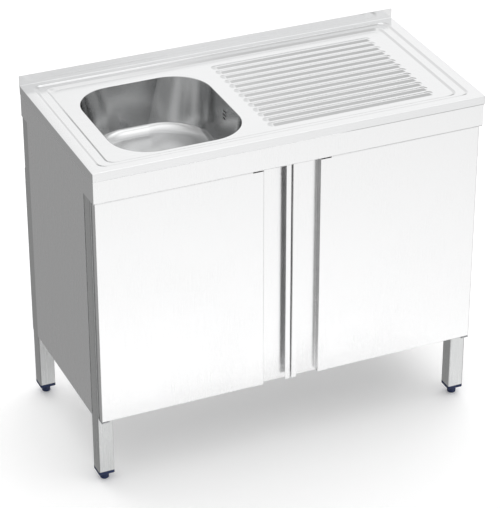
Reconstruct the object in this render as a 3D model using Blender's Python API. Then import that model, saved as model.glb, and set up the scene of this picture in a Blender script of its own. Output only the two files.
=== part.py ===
"""Stainless steel sink cabinet: a pressed worktop with bowl and drainer on a two-door cabinet.

Units are metres. The origin is on the floor under the middle of the worktop.
+X points to the right, -Y to the front and +Z up.
"""

import math

import bmesh
import bpy
from mathutils import Matrix, Vector

# Overall size
WIDTH = 1.000
DEPTH = 0.500
TOP_HEIGHT = 0.863
UPSTAND_HEIGHT = 0.0255

# Sheet metal and clearances
TOP_SHEET = 0.0012
BODY_SHEET = 0.0010
BOWL_SHEET = 0.0010
FIT_GAP = 0.0003
LID_CLEARANCE = 0.0005
WELD_DISTANCE = 0.00001

# Worktop rim and its two recess steps
LIP_HEIGHT = 0.023
LIP_REAR_GAP = 0.004
STEP_SIDE_LAND = 0.030
STEP_FRONT_LAND = 0.024
STEP_REAR_LAND = 0.022
STEP_SLOPE = 0.003
STEP_DROP = 0.002
STEP_RADIUS = 0.020
LEDGE_SIDE = 0.018
LEDGE_FRONT = 0.008
LEDGE_REAR = 0.014
RECESS_SLOPE = 0.012
RECESS_DROP = 0.005
RECESS_RADIUS = 0.020

# Bowl
BOWL_LEFT_LAND = 0.035
BOWL_FRONT_LAND = 0.010
BOWL_REAR_LAND = 0.032
BOWL_WIDTH = 0.323
BOWL_RADIUS = 0.100
BOWL_ROLL = 0.005
BOWL_DEPTH = 0.150
BOWL_FLOOR_FALL = 0.011
BOWL_FILLET = 0.026
BOWL_DRAFT = 0.012

# Overflow slots in the right wall of the bowl
OVERFLOW_DEPTH = 0.036
OVERFLOW_FORWARD = 0.010
OVERFLOW_SLOT_HEIGHT = 0.005
OVERFLOW_SLOT_PITCH = 0.010
OVERFLOW_SLOT_LONG = 0.026
OVERFLOW_SLOT_SHORT = 0.020

# Drainer ribs
RIB_PITCH = 0.0281
RIB_WIDTH = 0.024
RIB_HEIGHT = 0.0032
RIB_BOWL_LAND = 0.046
RIB_RIGHT_LAND = 0.037
RIB_END_LAND = 0.004
RIB_PROFILE = ((1.0, 0.0), (0.7, 0.7), (0.3, 1.0))

# Drainer stiffeners under the worktop
STIFFENER_SPREAD = 0.190
STIFFENER_BRIM = 0.012
STIFFENER_CROWN = 0.025
STIFFENER_DEPTH = 0.020

# Waste and overflow fittings
WASTE_TUBE_RADIUS = 0.0295
WASTE_TUBE_WALL = 0.0020
WASTE_TUBE_LENGTH = 0.042
WASTE_FLANGE_RADIUS = 0.0385
WASTE_FLANGE_THICKNESS = 0.0020
WASTE_HOLE_CLEARANCE = 0.0010
WASTE_SEAT_LAND = 0.004
GASKET_THICKNESS = 0.003
NUT_HEIGHT = 0.010
NUT_WALL = 0.010
STRAINER_THICKNESS = 0.0015
STRAINER_DROP = 0.006
STRAINER_HOLE_RADIUS = 0.0045
STRAINER_HOLE_CIRCLE = 0.016
STRAINER_HOLE_COUNT = 8
STRAINER_LEDGE = 0.0015
OUTLET_WALL = 0.0030
OUTLET_COLLAR_HEIGHT = 0.030
TAIL_RADIUS = 0.020
TAIL_WALL = 0.0025
TAIL_LENGTH = 0.055
SPIGOT_RADIUS = 0.011
SPIGOT_WALL = 0.002
SPIGOT_LENGTH = 0.026
PIPE_WALL = 0.0015
PIPE_LAP = 0.012
PIPE_STRAIGHT = 0.024
HEAD_RADIUS = 0.021
HEAD_DEPTH = 0.026
HEAD_WALL = 0.0025
HEAD_GASKET_WIDTH = 0.004
HEAD_GASKET_THICKNESS = 0.002

# Cabinet body
FASCIA_HEIGHT = 0.058
FASCIA_TOP_FLANGE = 0.018
FASCIA_END_GAP = 0.0015
REAR_RAIL_FLANGE = 0.014
PANEL_BOTTOM = 0.177
PANEL_LEG_LAP = 0.005
PANEL_FLANGE = 0.020
PANEL_TOP_FLANGE = 0.015
SHELF_HEIGHT = 0.0125
SHELF_SETBACK = 0.001
BACK_PANEL_HEIGHT = 0.463

# Legs and feet
LEG_SIZE = 0.040
LEG_WALL = 0.0015
LEG_BOTTOM = 0.0285
PLUG_FLANGE = 0.0085
PLUG_SPIGOT = 0.030
FOOT_RADIUS = 0.011
FOOT_CHAMFER = 0.0015
STEM_RADIUS = 0.005
STEM_LENGTH = 0.060

# Doors
DOOR_SETBACK = 0.010
DOOR_THICKNESS = 0.021
DOOR_SHEET = 0.0010
DOOR_SIDE_INSET = 0.006
DOOR_MEETING_GAP = 0.004
DOOR_BOTTOM = 0.188
DOOR_TOP_GAP = 0.003
DOOR_LEG_GAP = 0.0025
DOOR_REAR_RADIUS = 0.006
DOOR_FRONT_RADIUS = 0.002
DOOR_BACK_FLANGE = 0.020
LIP_WIDTH = 0.013
LIP_FLANGE = 0.008
CHANNEL_WIDTH = 0.0575
CHANNEL_DEPTH = 0.0165
CHANNEL_RADIUS = 0.009
NOTCH_WIDTH = 0.028
NOTCH_DEPTH = 0.0045
LINER_SHEET = 0.0010

# Door hinges and catches
PIN_INSET = 0.010
PIN_RADIUS = 0.004
PIN_REACH = 0.010
PIN_HEAD_RADIUS = 0.0065
PIN_HEAD_HEIGHT = 0.002
BUSH_WALL = 0.0025
BUSH_FLANGE_WIDTH = 0.0017
BUSH_FLANGE_HEIGHT = 0.0015
TAB_THICKNESS = 0.003
TAB_WIDTH = 0.020
TAB_FRONT_INSET = 0.001
CATCH_PLATE_WIDTH = 0.170
CATCH_PLATE_DEPTH = 0.042
CATCH_PLATE_LAP = 0.020
CATCH_PLATE_SHEET = 0.0015
MAGNET_WIDTH = 0.046
MAGNET_DEPTH = 0.014
MAGNET_HEIGHT = 0.018
MAGNET_CENTRE = 0.052
STRIKE_HEIGHT = 0.014
STRIKE_TOP_LAND = 0.002
SCREW_RADIUS = 0.00175
SCREW_LENGTH = 0.010
SCREW_HEAD_RADIUS = 0.0035
SCREW_HEAD_HEIGHT = 0.002
SCREW_SPACING = 0.030

# Facets
CORNER_SEGMENTS = 6
ROLL_SEGMENTS = 3
FILLET_SEGMENTS = 4
RIB_END_SEGMENTS = 4
ROUND_SEGMENTS = 16
WASTE_SEGMENTS = 24
SMALL_SEGMENTS = 8
BEND_SEGMENTS = 3
PIPE_STEPS = 12
SHARP_ANGLE = math.radians(30)

# Levels and planes that several pieces share
HALF_WIDTH = WIDTH / 2
FRONT = -DEPTH / 2
REAR = DEPTH / 2
CREASE = REAR - TOP_SHEET
TOP_UNDERSIDE = TOP_HEIGHT - TOP_SHEET
STEP_LEVEL = TOP_HEIGHT - STEP_DROP
FLOOR_LEVEL = STEP_LEVEL - RECESS_DROP
BODY_HALF = HALF_WIDTH - TOP_SHEET - LID_CLEARANCE
BODY_FRONT = FRONT + TOP_SHEET + LID_CLEARANCE
BODY_TOP = TOP_UNDERSIDE - FIT_GAP
FASCIA_BOTTOM = TOP_HEIGHT - LIP_HEIGHT - FASCIA_HEIGHT
LEG_TOP = FLOOR_LEVEL - TOP_SHEET - FIT_GAP
LEG_OUTER = BODY_HALF - BODY_SHEET - FIT_GAP
LEG_INNER = LEG_OUTER - LEG_SIZE
DOOR_FRONT = FRONT + DOOR_SETBACK
DOOR_BACK = DOOR_FRONT + DOOR_THICKNESS
FRONT_LEG_FACE = DOOR_BACK + DOOR_LEG_GAP
FRONT_LEG_BACK = FRONT_LEG_FACE + LEG_SIZE
REAR_LEG_BACK = REAR - BODY_SHEET - FIT_GAP
REAR_LEG_FACE = REAR_LEG_BACK - LEG_SIZE
DOOR_TOP = FASCIA_BOTTOM - DOOR_TOP_GAP
DOOR_WIDTH = HALF_WIDTH - DOOR_SIDE_INSET - DOOR_MEETING_GAP / 2
CHANNEL_END = DOOR_WIDTH - LIP_WIDTH
CHANNEL_START = CHANNEL_END - CHANNEL_WIDTH
LINER_BACK = DOOR_THICKNESS - DOOR_SHEET - FIT_GAP
LINER_FRONT = LINER_BACK - LINER_SHEET
PIN_X = HALF_WIDTH - DOOR_SIDE_INSET - PIN_INSET
PIN_Y = DOOR_FRONT + DOOR_THICKNESS / 2
BUSH_RADIUS = PIN_RADIUS + FIT_GAP + BUSH_WALL
FLANGE_BACK = FRONT_LEG_FACE - FIT_GAP
MAGNET_FRONT = FLANGE_BACK + FIT_GAP
STRIKE_FRONT = DOOR_FRONT + LINER_BACK + FIT_GAP
STRIKE_BACK = MAGNET_FRONT - FIT_GAP
CATCH_PLATE_LEVEL = FASCIA_BOTTOM + BODY_SHEET + FIT_GAP
SHELF_LEVEL = PANEL_BOTTOM + BODY_SHEET + FIT_GAP + SHELF_HEIGHT

# Plan of the recess floor, the bowl and the drainer
RECESS_LEFT = -HALF_WIDTH + STEP_SIDE_LAND + STEP_SLOPE + LEDGE_SIDE + RECESS_SLOPE
RECESS_FRONT = FRONT + STEP_FRONT_LAND + STEP_SLOPE + LEDGE_FRONT + RECESS_SLOPE
RECESS_REAR = CREASE - STEP_REAR_LAND - STEP_SLOPE - LEDGE_REAR - RECESS_SLOPE
BOWL_FRONT = RECESS_FRONT + BOWL_FRONT_LAND
BOWL_REAR = RECESS_REAR - BOWL_REAR_LAND
BOWL_LENGTH = BOWL_REAR - BOWL_FRONT
BASIN_Y = (BOWL_FRONT + BOWL_REAR) / 2
BOWL_X = RECESS_LEFT + BOWL_LEFT_LAND + BOWL_WIDTH / 2
BOWL_RIGHT = BOWL_X + BOWL_WIDTH / 2
BOWL_TOP = FLOOR_LEVEL - BOWL_ROLL - FIT_GAP
BOWL_BOTTOM = TOP_HEIGHT - BOWL_DEPTH
BOWL_WALL_END = BOWL_BOTTOM + BOWL_FLOOR_FALL + BOWL_FILLET
RIB_LEFT = BOWL_RIGHT + RIB_BOWL_LAND
RIB_RIGHT = -RECESS_LEFT - RIB_RIGHT_LAND
RIB_COUNT = int(2 * (BASIN_Y - RECESS_FRONT - RIB_END_LAND) / RIB_PITCH)

# Finishes: colour, roughness and metallic value
FINISHES = {
    "steel_top": ((0.78, 0.79, 0.80), 0.28, 1.0),
    "steel_bowl": ((0.66, 0.67, 0.68), 0.30, 1.0),
    "steel_body": ((0.72, 0.73, 0.74), 0.38, 1.0),
    "steel_door": ((0.80, 0.81, 0.82), 0.40, 1.0),
    "steel_part": ((0.55, 0.56, 0.58), 0.35, 1.0),
    "blue_plastic": ((0.02, 0.03, 0.08), 0.45, 0.0),
    "white_plastic": ((0.80, 0.80, 0.78), 0.45, 0.0),
    "rubber": ((0.03, 0.03, 0.03), 0.80, 0.0),
}


def clear_scene():
    for old in list(bpy.data.objects):
        bpy.data.objects.remove(old, do_unlink=True)


def make_material(name, finish):
    colour, roughness, metallic = FINISHES[finish]
    material = bpy.data.materials.new(name)
    material.use_nodes = True
    shader = material.node_tree.nodes["Principled BSDF"]
    shader.inputs["Base Color"].default_value = (*colour, 1.0)
    shader.inputs["Roughness"].default_value = roughness
    shader.inputs["Metallic"].default_value = metallic
    return material


def link_mesh(name, bm, origin=(0.0, 0.0, 0.0)):
    """Turn world-space geometry into an object whose origin is at the given point."""
    bmesh.ops.translate(bm, verts=bm.verts, vec=-Vector(origin))
    mesh = bpy.data.meshes.new(name)
    bm.to_mesh(mesh)
    bm.free()
    obj = bpy.data.objects.new(name, mesh)
    obj.location = origin
    bpy.context.collection.objects.link(obj)
    return obj


def add_solid(name, bm, finish, origin=(0.0, 0.0, 0.0)):
    """Add a closed piece with its faces pointing outwards, smooth across shallow angles."""
    bmesh.ops.recalc_face_normals(bm, faces=bm.faces)
    obj = link_mesh(name, bm, origin)
    obj.data.materials.append(make_material(name, finish))
    obj.data.shade_smooth()
    obj.data.set_sharp_from_angle(angle=SHARP_ANGLE)
    return obj


def add_sheet(name, bm, outward, thickness, finish, origin=(0.0, 0.0, 0.0)):
    """Add a folded sheet from its outer surface, whose first face looks along outward."""
    bmesh.ops.remove_doubles(bm, verts=bm.verts, dist=WELD_DISTANCE)
    bmesh.ops.recalc_face_normals(bm, faces=bm.faces)
    bm.faces.ensure_lookup_table()
    if bm.faces[0].normal.dot(Vector(outward)) < 0:
        bmesh.ops.reverse_faces(bm, faces=bm.faces)
    obj = link_mesh(name, bm, origin)
    obj.data.materials.append(make_material(name, finish))
    solidify = obj.modifiers.new("sheet", "SOLIDIFY")
    solidify.thickness = thickness
    solidify.offset = -1
    solidify.use_even_offset = True
    solidify.use_quality_normals = True
    return obj


def combine(obj, name, bm, operation):
    """Join a hidden tool shape to an object, or cut it out."""
    bmesh.ops.recalc_face_normals(bm, faces=bm.faces)
    tool = link_mesh(name, bm)
    tool.hide_render = True
    tool.display_type = "WIRE"
    boolean = obj.modifiers.new(name, "BOOLEAN")
    boolean.operation = operation
    boolean.object = tool


def add_face(bm, points):
    bm.faces.new([bm.verts.new(point) for point in points])


def add_box(bm, low, high):
    middle = (Vector(low) + Vector(high)) / 2
    size = Vector(high) - Vector(low)
    place = Matrix.Translation(middle) @ Matrix.Diagonal((*size, 1.0))
    bmesh.ops.create_cube(bm, size=1.0, matrix=place)


def join_rings(bm, first, second):
    """Join two rings of vertices with faces; a ring of one vertex is a pole."""
    count = max(len(first), len(second))
    for step in range(count):
        after = (step + 1) % count
        corners = [first[step % len(first)], first[after % len(first)]]
        corners += [second[after % len(second)], second[step % len(second)]]
        corners = list(dict.fromkeys(corners))
        if len(corners) > 2:
            bm.faces.new(corners)


def add_ring(bm, points):
    return [bm.verts.new(point) for point in points]


def add_prism(bm, low_points, high_points):
    low = add_ring(bm, low_points)
    high = add_ring(bm, high_points)
    join_rings(bm, low, high)
    bm.faces.new(low)
    bm.faces.new(high)


def circle(radius, height, segments):
    turns = [2 * math.pi * step / segments for step in range(segments)]
    return [Vector((radius * math.cos(turn), radius * math.sin(turn), height)) for turn in turns]


def square(half, height, segments):
    """A square ring with as many points as a circle, so that the two can be joined."""
    points = circle(1.0, 0.0, segments)
    reach = [half / max(abs(point.x), abs(point.y)) for point in points]
    return [Vector((point.x * size, point.y * size, height)) for point, size in zip(points, reach)]


def add_stack(bm, rings, place):
    """Join rings of points into a closed wall, the last one back to the first."""
    made = [add_ring(bm, [place @ point for point in ring]) for ring in rings]
    for first, second in zip(made, made[1:] + made[:1]):
        join_rings(bm, first, second)


def add_turned(bm, profile, segments, place):
    """Turn a closed outline of (radius, height) points about the local Z axis of place."""
    rings = []
    for radius, height in profile:
        if radius == 0.0:
            rings.append([Vector((0.0, 0.0, height))])
        else:
            rings.append(circle(radius, height, segments))
    add_stack(bm, rings, place)


def add_rod(bm, radius, low, high, segments, place):
    add_turned(bm, [(0.0, low), (radius, low), (radius, high), (0.0, high)], segments, place)


def around(radius, segments):
    """Radius of a facetted bore that clears a rod of the given radius by the fit gap."""
    return (radius + FIT_GAP) / math.cos(math.pi / segments)


def at(x, y, z):
    return Matrix.Translation((x, y, z))


def rounded_rectangle(low, high, radius, height):
    """Corner points of a rounded rectangle, counter-clockwise from its front left corner."""
    centres = [
        (low[0] + radius, low[1] + radius, 180),
        (high[0] - radius, low[1] + radius, 270),
        (high[0] - radius, high[1] - radius, 0),
        (low[0] + radius, high[1] - radius, 90),
    ]
    points = []
    for x, y, start in centres:
        for step in range(CORNER_SEGMENTS + 1):
            turn = math.radians(start + 90 * step / CORNER_SEGMENTS)
            points.append((x + radius * math.cos(turn), y + radius * math.sin(turn), height))
    return points


def stadium(left, right, middle, half, height):
    """Outline of a rib: a strip along X with round ends."""
    points = []
    for x, start in ((right - half, -90), (left + half, 90)):
        for step in range(RIB_END_SEGMENTS + 1):
            turn = math.radians(start + 180 * step / RIB_END_SEGMENTS)
            points.append((x + half * math.cos(turn), middle + half * math.sin(turn), height))
    return points


def bowl_outline(inset, height):
    low = (BOWL_X - BOWL_WIDTH / 2 + inset, BOWL_FRONT + inset)
    high = (BOWL_RIGHT - inset, BOWL_REAR - inset)
    return rounded_rectangle(low, high, BOWL_RADIUS - inset, height)


def fill_between(bm, rings):
    """Fill the flat area inside the first ring and outside the others."""
    edges = []
    for ring in rings:
        for first, second in zip(ring, ring[1:] + ring[:1]):
            edge = bm.edges.get((first, second))
            edges.append(edge or bm.edges.new((first, second)))
    bmesh.ops.triangle_fill(bm, use_beauty=True, edges=edges)


def inset_rectangle(side, front, rear, radius, height):
    low = (-HALF_WIDTH + side, FRONT + front)
    high = (HALF_WIDTH - side, CREASE - rear)
    return rounded_rectangle(low, high, radius, height)


def add_recess_steps(bm):
    """The two steps from the rim down to the recess floor; returns their rings from the top down."""
    side, front, rear = STEP_SIDE_LAND, STEP_FRONT_LAND, STEP_REAR_LAND
    lands = [(side, front, rear, STEP_RADIUS, TOP_HEIGHT)]
    side, front, rear = side + STEP_SLOPE, front + STEP_SLOPE, rear + STEP_SLOPE
    lands.append((side, front, rear, STEP_RADIUS, STEP_LEVEL))
    side, front, rear = side + LEDGE_SIDE, front + LEDGE_FRONT, rear + LEDGE_REAR
    lands.append((side, front, rear, RECESS_RADIUS, STEP_LEVEL))
    side, front, rear = side + RECESS_SLOPE, front + RECESS_SLOPE, rear + RECESS_SLOPE
    lands.append((side, front, rear, RECESS_RADIUS, FLOOR_LEVEL))
    rings = [add_ring(bm, inset_rectangle(*land)) for land in lands]
    for first, second in zip(rings, rings[1:]):
        join_rings(bm, first, second)
    return rings


def add_rib(bm, middle):
    """One raised rib of the drainer; returns its foot ring on the recess floor.

    The profile gives shares of the rib's half width and height, from its foot to its crown.
    """
    half = RIB_WIDTH / 2
    rings = []
    for share, rise in RIB_PROFILE:
        inset = half * (1 - share)
        level = FLOOR_LEVEL + RIB_HEIGHT * rise
        outline = stadium(RIB_LEFT + inset, RIB_RIGHT - inset, middle, half * share, level)
        rings.append(add_ring(bm, outline))
    for first, second in zip(rings, rings[1:]):
        join_rings(bm, first, second)
    bm.faces.new(rings[-1])
    return rings[0]


def add_bowl_roll(bm):
    """The rounded edge where the recess floor turns down into the bowl; returns its upper ring."""
    rings = []
    for step in range(ROLL_SEGMENTS + 1):
        turn = math.radians(90 * step / ROLL_SEGMENTS)
        outset = BOWL_ROLL * (1 - math.sin(turn))
        drop = BOWL_ROLL * (1 - math.cos(turn))
        rings.append(add_ring(bm, bowl_outline(-outset, FLOOR_LEVEL - drop)))
    for first, second in zip(rings, rings[1:]):
        join_rings(bm, first, second)
    return rings[0]


def make_worktop():
    bm = bmesh.new()
    lip = TOP_HEIGHT - LIP_HEIGHT
    crest = TOP_HEIGHT + UPSTAND_HEIGHT
    lip_end = CREASE - LIP_REAR_GAP
    edge = [(-HALF_WIDTH, lip_end), (-HALF_WIDTH, FRONT), (HALF_WIDTH, FRONT), (HALF_WIDTH, lip_end)]
    hem = add_ring(bm, [(x, y, lip) for x, y in edge])
    rim = add_ring(bm, [(x, y, TOP_HEIGHT) for x, y in edge])
    for side in range(3):
        bm.faces.new((hem[side], hem[side + 1], rim[side + 1], rim[side]))
    crease = add_ring(bm, [(HALF_WIDTH, CREASE, TOP_HEIGHT), (-HALF_WIDTH, CREASE, TOP_HEIGHT)])
    back = add_ring(bm, [(-HALF_WIDTH, CREASE, crest), (HALF_WIDTH, CREASE, crest)])
    bm.faces.new((*crease, *back))
    steps = add_recess_steps(bm)
    holes = [add_bowl_roll(bm)]
    first_rib = BASIN_Y - RIB_PITCH * (RIB_COUNT - 1) / 2
    for count in range(RIB_COUNT):
        holes.append(add_rib(bm, first_rib + RIB_PITCH * count))
    fill_between(bm, [rim + crease, steps[0]])
    fill_between(bm, [steps[-1], *holes])
    add_sheet("worktop", bm, (-1, 0, 0), TOP_SHEET, "steel_top")


def make_bowl():
    bm = bmesh.new()
    rings = [add_ring(bm, bowl_outline(0.0, BOWL_TOP))]
    for step in range(FILLET_SEGMENTS + 1):
        turn = math.radians(90 * step / FILLET_SEGMENTS)
        inset = BOWL_DRAFT + BOWL_FILLET * (1 - math.cos(turn))
        rings.append(add_ring(bm, bowl_outline(inset, BOWL_WALL_END - BOWL_FILLET * math.sin(turn))))
    count = len(rings[0])
    front_left = math.radians(225)
    turned = front_left - math.pi * CORNER_SEGMENTS / count
    seat = at(BOWL_X, BASIN_Y, BOWL_BOTTOM) @ Matrix.Rotation(turned, 4, "Z")
    for radius in (WASTE_FLANGE_RADIUS + WASTE_SEAT_LAND, WASTE_TUBE_RADIUS + WASTE_HOLE_CLEARANCE):
        rings.append(add_ring(bm, [seat @ point for point in circle(radius, 0.0, count)]))
    for first, second in zip(rings, rings[1:]):
        join_rings(bm, first, second)
    bowl = add_sheet("sink_bowl", bm, (0, 1, 0), BOWL_SHEET, "steel_bowl")
    slots = bmesh.new()
    for row, length in ((-1, OVERFLOW_SLOT_SHORT), (0, OVERFLOW_SLOT_LONG), (1, OVERFLOW_SLOT_SHORT)):
        outline = []
        middle = overflow_height() + row * OVERFLOW_SLOT_PITCH
        half = OVERFLOW_SLOT_HEIGHT / 2
        for y, z, _ in stadium(-length / 2, length / 2, middle, half, 0.0):
            outline.append((overflow_y() + y, z))
        left = BOWL_RIGHT - BOWL_DRAFT - HEAD_RADIUS
        right = BOWL_RIGHT + HEAD_RADIUS
        add_prism(slots, [(left, y, z) for y, z in outline], [(right, y, z) for y, z in outline])
    combine(bowl, "overflow_slots", slots, "DIFFERENCE")


def overflow_y():
    return BASIN_Y - OVERFLOW_FORWARD


def overflow_height():
    return TOP_HEIGHT - OVERFLOW_DEPTH


def overflow_place():
    """Frame on the outside of the right bowl wall: local Z points out of the wall."""
    run = BOWL_TOP - BOWL_WALL_END
    slope = BOWL_DRAFT / run
    outward = Vector((1.0, 0.0, -slope)).normalized()
    along = Vector((0.0, 1.0, 0.0))
    inner_x = BOWL_RIGHT - slope * (BOWL_TOP - overflow_height())
    origin = Vector((inner_x, overflow_y(), overflow_height())) + outward * BOWL_SHEET
    frame = Matrix((along.cross(outward), along, outward)).transposed().to_4x4()
    return Matrix.Translation(origin) @ frame


def make_stiffeners():
    top = FLOOR_LEVEL - TOP_SHEET - FIT_GAP
    base = top - STIFFENER_DEPTH
    crown = STIFFENER_CROWN / 2
    brim = crown + STIFFENER_BRIM
    for name, side in (("front_stiffener", -1), ("rear_stiffener", 1)):
        middle = BASIN_Y + side * STIFFENER_SPREAD / 2
        half = [(-brim, top), (-brim, top - BODY_SHEET), (-crown, top - BODY_SHEET), (-crown, base)]
        inner = [(-crown + BODY_SHEET, top), (-crown + BODY_SHEET, base + BODY_SHEET)]
        outline = half + [(-y, z) for y, z in reversed(half)]
        outline += [(-y, z) for y, z in inner] + list(reversed(inner))
        bm = bmesh.new()
        left = [(RIB_LEFT, middle + y, z) for y, z in outline]
        right = [(RIB_RIGHT, middle + y, z) for y, z in outline]
        add_prism(bm, left, right)
        add_solid(name, bm, "steel_body")


def make_waste():
    """Flange and tube through the bowl, strainer, gasket and nut, from the bowl seat down."""
    seat = at(BOWL_X, BASIN_Y, BOWL_BOTTOM)
    bore = WASTE_TUBE_RADIUS - WASTE_TUBE_WALL
    ledge = bore - STRAINER_LEDGE
    flange_top = FIT_GAP + WASTE_FLANGE_THICKNESS
    ledge_top = flange_top - STRAINER_DROP
    outline = [
        (WASTE_FLANGE_RADIUS, flange_top),
        (WASTE_FLANGE_RADIUS, FIT_GAP),
        (WASTE_TUBE_RADIUS, FIT_GAP),
        (WASTE_TUBE_RADIUS, -WASTE_TUBE_LENGTH),
        (bore, -WASTE_TUBE_LENGTH),
        (bore, ledge_top - STRAINER_LEDGE),
        (ledge, ledge_top - STRAINER_LEDGE),
        (ledge, ledge_top),
        (bore, ledge_top),
        (bore, flange_top),
    ]
    bm = bmesh.new()
    add_turned(bm, outline, WASTE_SEGMENTS, seat)
    add_solid("waste_flange", bm, "steel_part")
    bm = bmesh.new()
    low = ledge_top + FIT_GAP
    high = low + STRAINER_THICKNESS
    rim = (bore - FIT_GAP) * math.cos(math.pi / WASTE_SEGMENTS)
    add_rod(bm, rim, low, high, WASTE_SEGMENTS, seat)
    strainer = add_solid("waste_strainer", bm, "steel_part")
    holes = bmesh.new()
    for point in circle(STRAINER_HOLE_CIRCLE, 0.0, STRAINER_HOLE_COUNT):
        place = seat @ Matrix.Translation(point)
        ends = (low - STRAINER_THICKNESS, high + STRAINER_THICKNESS)
        add_rod(holes, STRAINER_HOLE_RADIUS, *ends, SMALL_SEGMENTS, place)
    combine(strainer, "strainer_holes", holes, "DIFFERENCE")
    inner = around(WASTE_TUBE_RADIUS, WASTE_SEGMENTS)
    gasket_top = -BOWL_SHEET - FIT_GAP
    nut_top = gasket_top - GASKET_THICKNESS - FIT_GAP
    for name, top, height, outer, finish in (
        ("waste_gasket", gasket_top, GASKET_THICKNESS, WASTE_FLANGE_RADIUS, "rubber"),
        ("waste_nut", nut_top, NUT_HEIGHT, WASTE_TUBE_RADIUS + NUT_WALL, "white_plastic"),
    ):
        bm = bmesh.new()
        ring = [(inner, top), (outer, top), (outer, top - height), (inner, top - height)]
        add_turned(bm, ring, WASTE_SEGMENTS, seat)
        add_solid(name, bm, finish)


def outlet_top():
    return BOWL_BOTTOM - BOWL_SHEET - GASKET_THICKNESS - NUT_HEIGHT - 3 * FIT_GAP


def spigot_height():
    return outlet_top() - OUTLET_COLLAR_HEIGHT - SPIGOT_RADIUS - OUTLET_WALL


def make_outlet():
    """Outlet under the waste: a collar on the tube, a tail and a side spigot for the overflow."""
    place = at(BOWL_X, BASIN_Y, outlet_top())
    inner = around(WASTE_TUBE_RADIUS, WASTE_SEGMENTS)
    shoulder = -OUTLET_COLLAR_HEIGHT
    tail_end = shoulder - TAIL_LENGTH
    outline = [
        (inner + OUTLET_WALL, 0.0),
        (inner + OUTLET_WALL, shoulder - OUTLET_WALL),
        (TAIL_RADIUS, shoulder - OUTLET_WALL),
        (TAIL_RADIUS, tail_end),
        (TAIL_RADIUS - TAIL_WALL, tail_end),
        (TAIL_RADIUS - TAIL_WALL, shoulder),
        (inner, shoulder),
        (inner, 0.0),
    ]
    bm = bmesh.new()
    add_turned(bm, outline, WASTE_SEGMENTS, place)
    outlet = add_solid("waste_outlet", bm, "white_plastic")
    spigot = bmesh.new()
    side = spigot_frame()
    start = TAIL_RADIUS - TAIL_WALL / 2
    bore = SPIGOT_RADIUS - SPIGOT_WALL
    add_rod(spigot, SPIGOT_RADIUS, start, TAIL_RADIUS + SPIGOT_LENGTH, ROUND_SEGMENTS, side)
    combine(outlet, "outlet_spigot", spigot, "UNION")
    hole = bmesh.new()
    add_rod(hole, bore, TAIL_RADIUS / 2, TAIL_RADIUS + 2 * SPIGOT_LENGTH, ROUND_SEGMENTS, side)
    combine(outlet, "outlet_spigot_bore", hole, "DIFFERENCE")


def head_spigot_x():
    """The overflow head's spigot hangs this far to the right, clear of the bowl wall."""
    reach = HEAD_GASKET_THICKNESS + 2 * FIT_GAP + HEAD_DEPTH / 2
    return (overflow_place() @ Vector((0.0, 0.0, reach))).x


def spigot_frame():
    """Frame of the outlet's side spigot: local Z points level towards the overflow head."""
    towards = Vector((head_spigot_x() - BOWL_X, overflow_y() - BASIN_Y, 0.0)).normalized()
    up = Vector((0.0, 0.0, 1.0))
    frame = Matrix((up, towards.cross(up), towards)).transposed().to_4x4()
    return at(BOWL_X, BASIN_Y, spigot_height()) @ frame


def make_overflow_head():
    place = overflow_place()
    base = HEAD_GASKET_THICKNESS + 2 * FIT_GAP
    bm = bmesh.new()
    inner = HEAD_RADIUS - HEAD_GASKET_WIDTH
    ring = [
        (inner, FIT_GAP),
        (HEAD_RADIUS, FIT_GAP),
        (HEAD_RADIUS, FIT_GAP + HEAD_GASKET_THICKNESS),
        (inner, FIT_GAP + HEAD_GASKET_THICKNESS),
    ]
    add_turned(bm, ring, WASTE_SEGMENTS, place)
    add_solid("overflow_gasket", bm, "rubber")
    cavity = HEAD_RADIUS - HEAD_WALL
    cup = [
        (cavity, base),
        (HEAD_RADIUS, base),
        (HEAD_RADIUS, base + HEAD_DEPTH),
        (0.0, base + HEAD_DEPTH),
        (0.0, base + HEAD_DEPTH - HEAD_WALL),
        (cavity, base + HEAD_DEPTH - HEAD_WALL),
    ]
    bm = bmesh.new()
    add_turned(bm, cup, WASTE_SEGMENTS, place)
    head = add_solid("overflow_head", bm, "white_plastic")
    down = at(head_spigot_x(), overflow_y(), overflow_height()) @ Matrix.Rotation(math.pi, 4, "X")
    spigot = bmesh.new()
    end = HEAD_RADIUS + SPIGOT_LENGTH
    add_rod(spigot, SPIGOT_RADIUS, HEAD_RADIUS - HEAD_WALL / 2, end, ROUND_SEGMENTS, down)
    combine(head, "head_spigot", spigot, "UNION")
    hole = bmesh.new()
    add_rod(hole, SPIGOT_RADIUS - SPIGOT_WALL, HEAD_RADIUS / 2, end + SPIGOT_LENGTH, ROUND_SEGMENTS, down)
    combine(head, "head_spigot_bore", hole, "DIFFERENCE")


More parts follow.
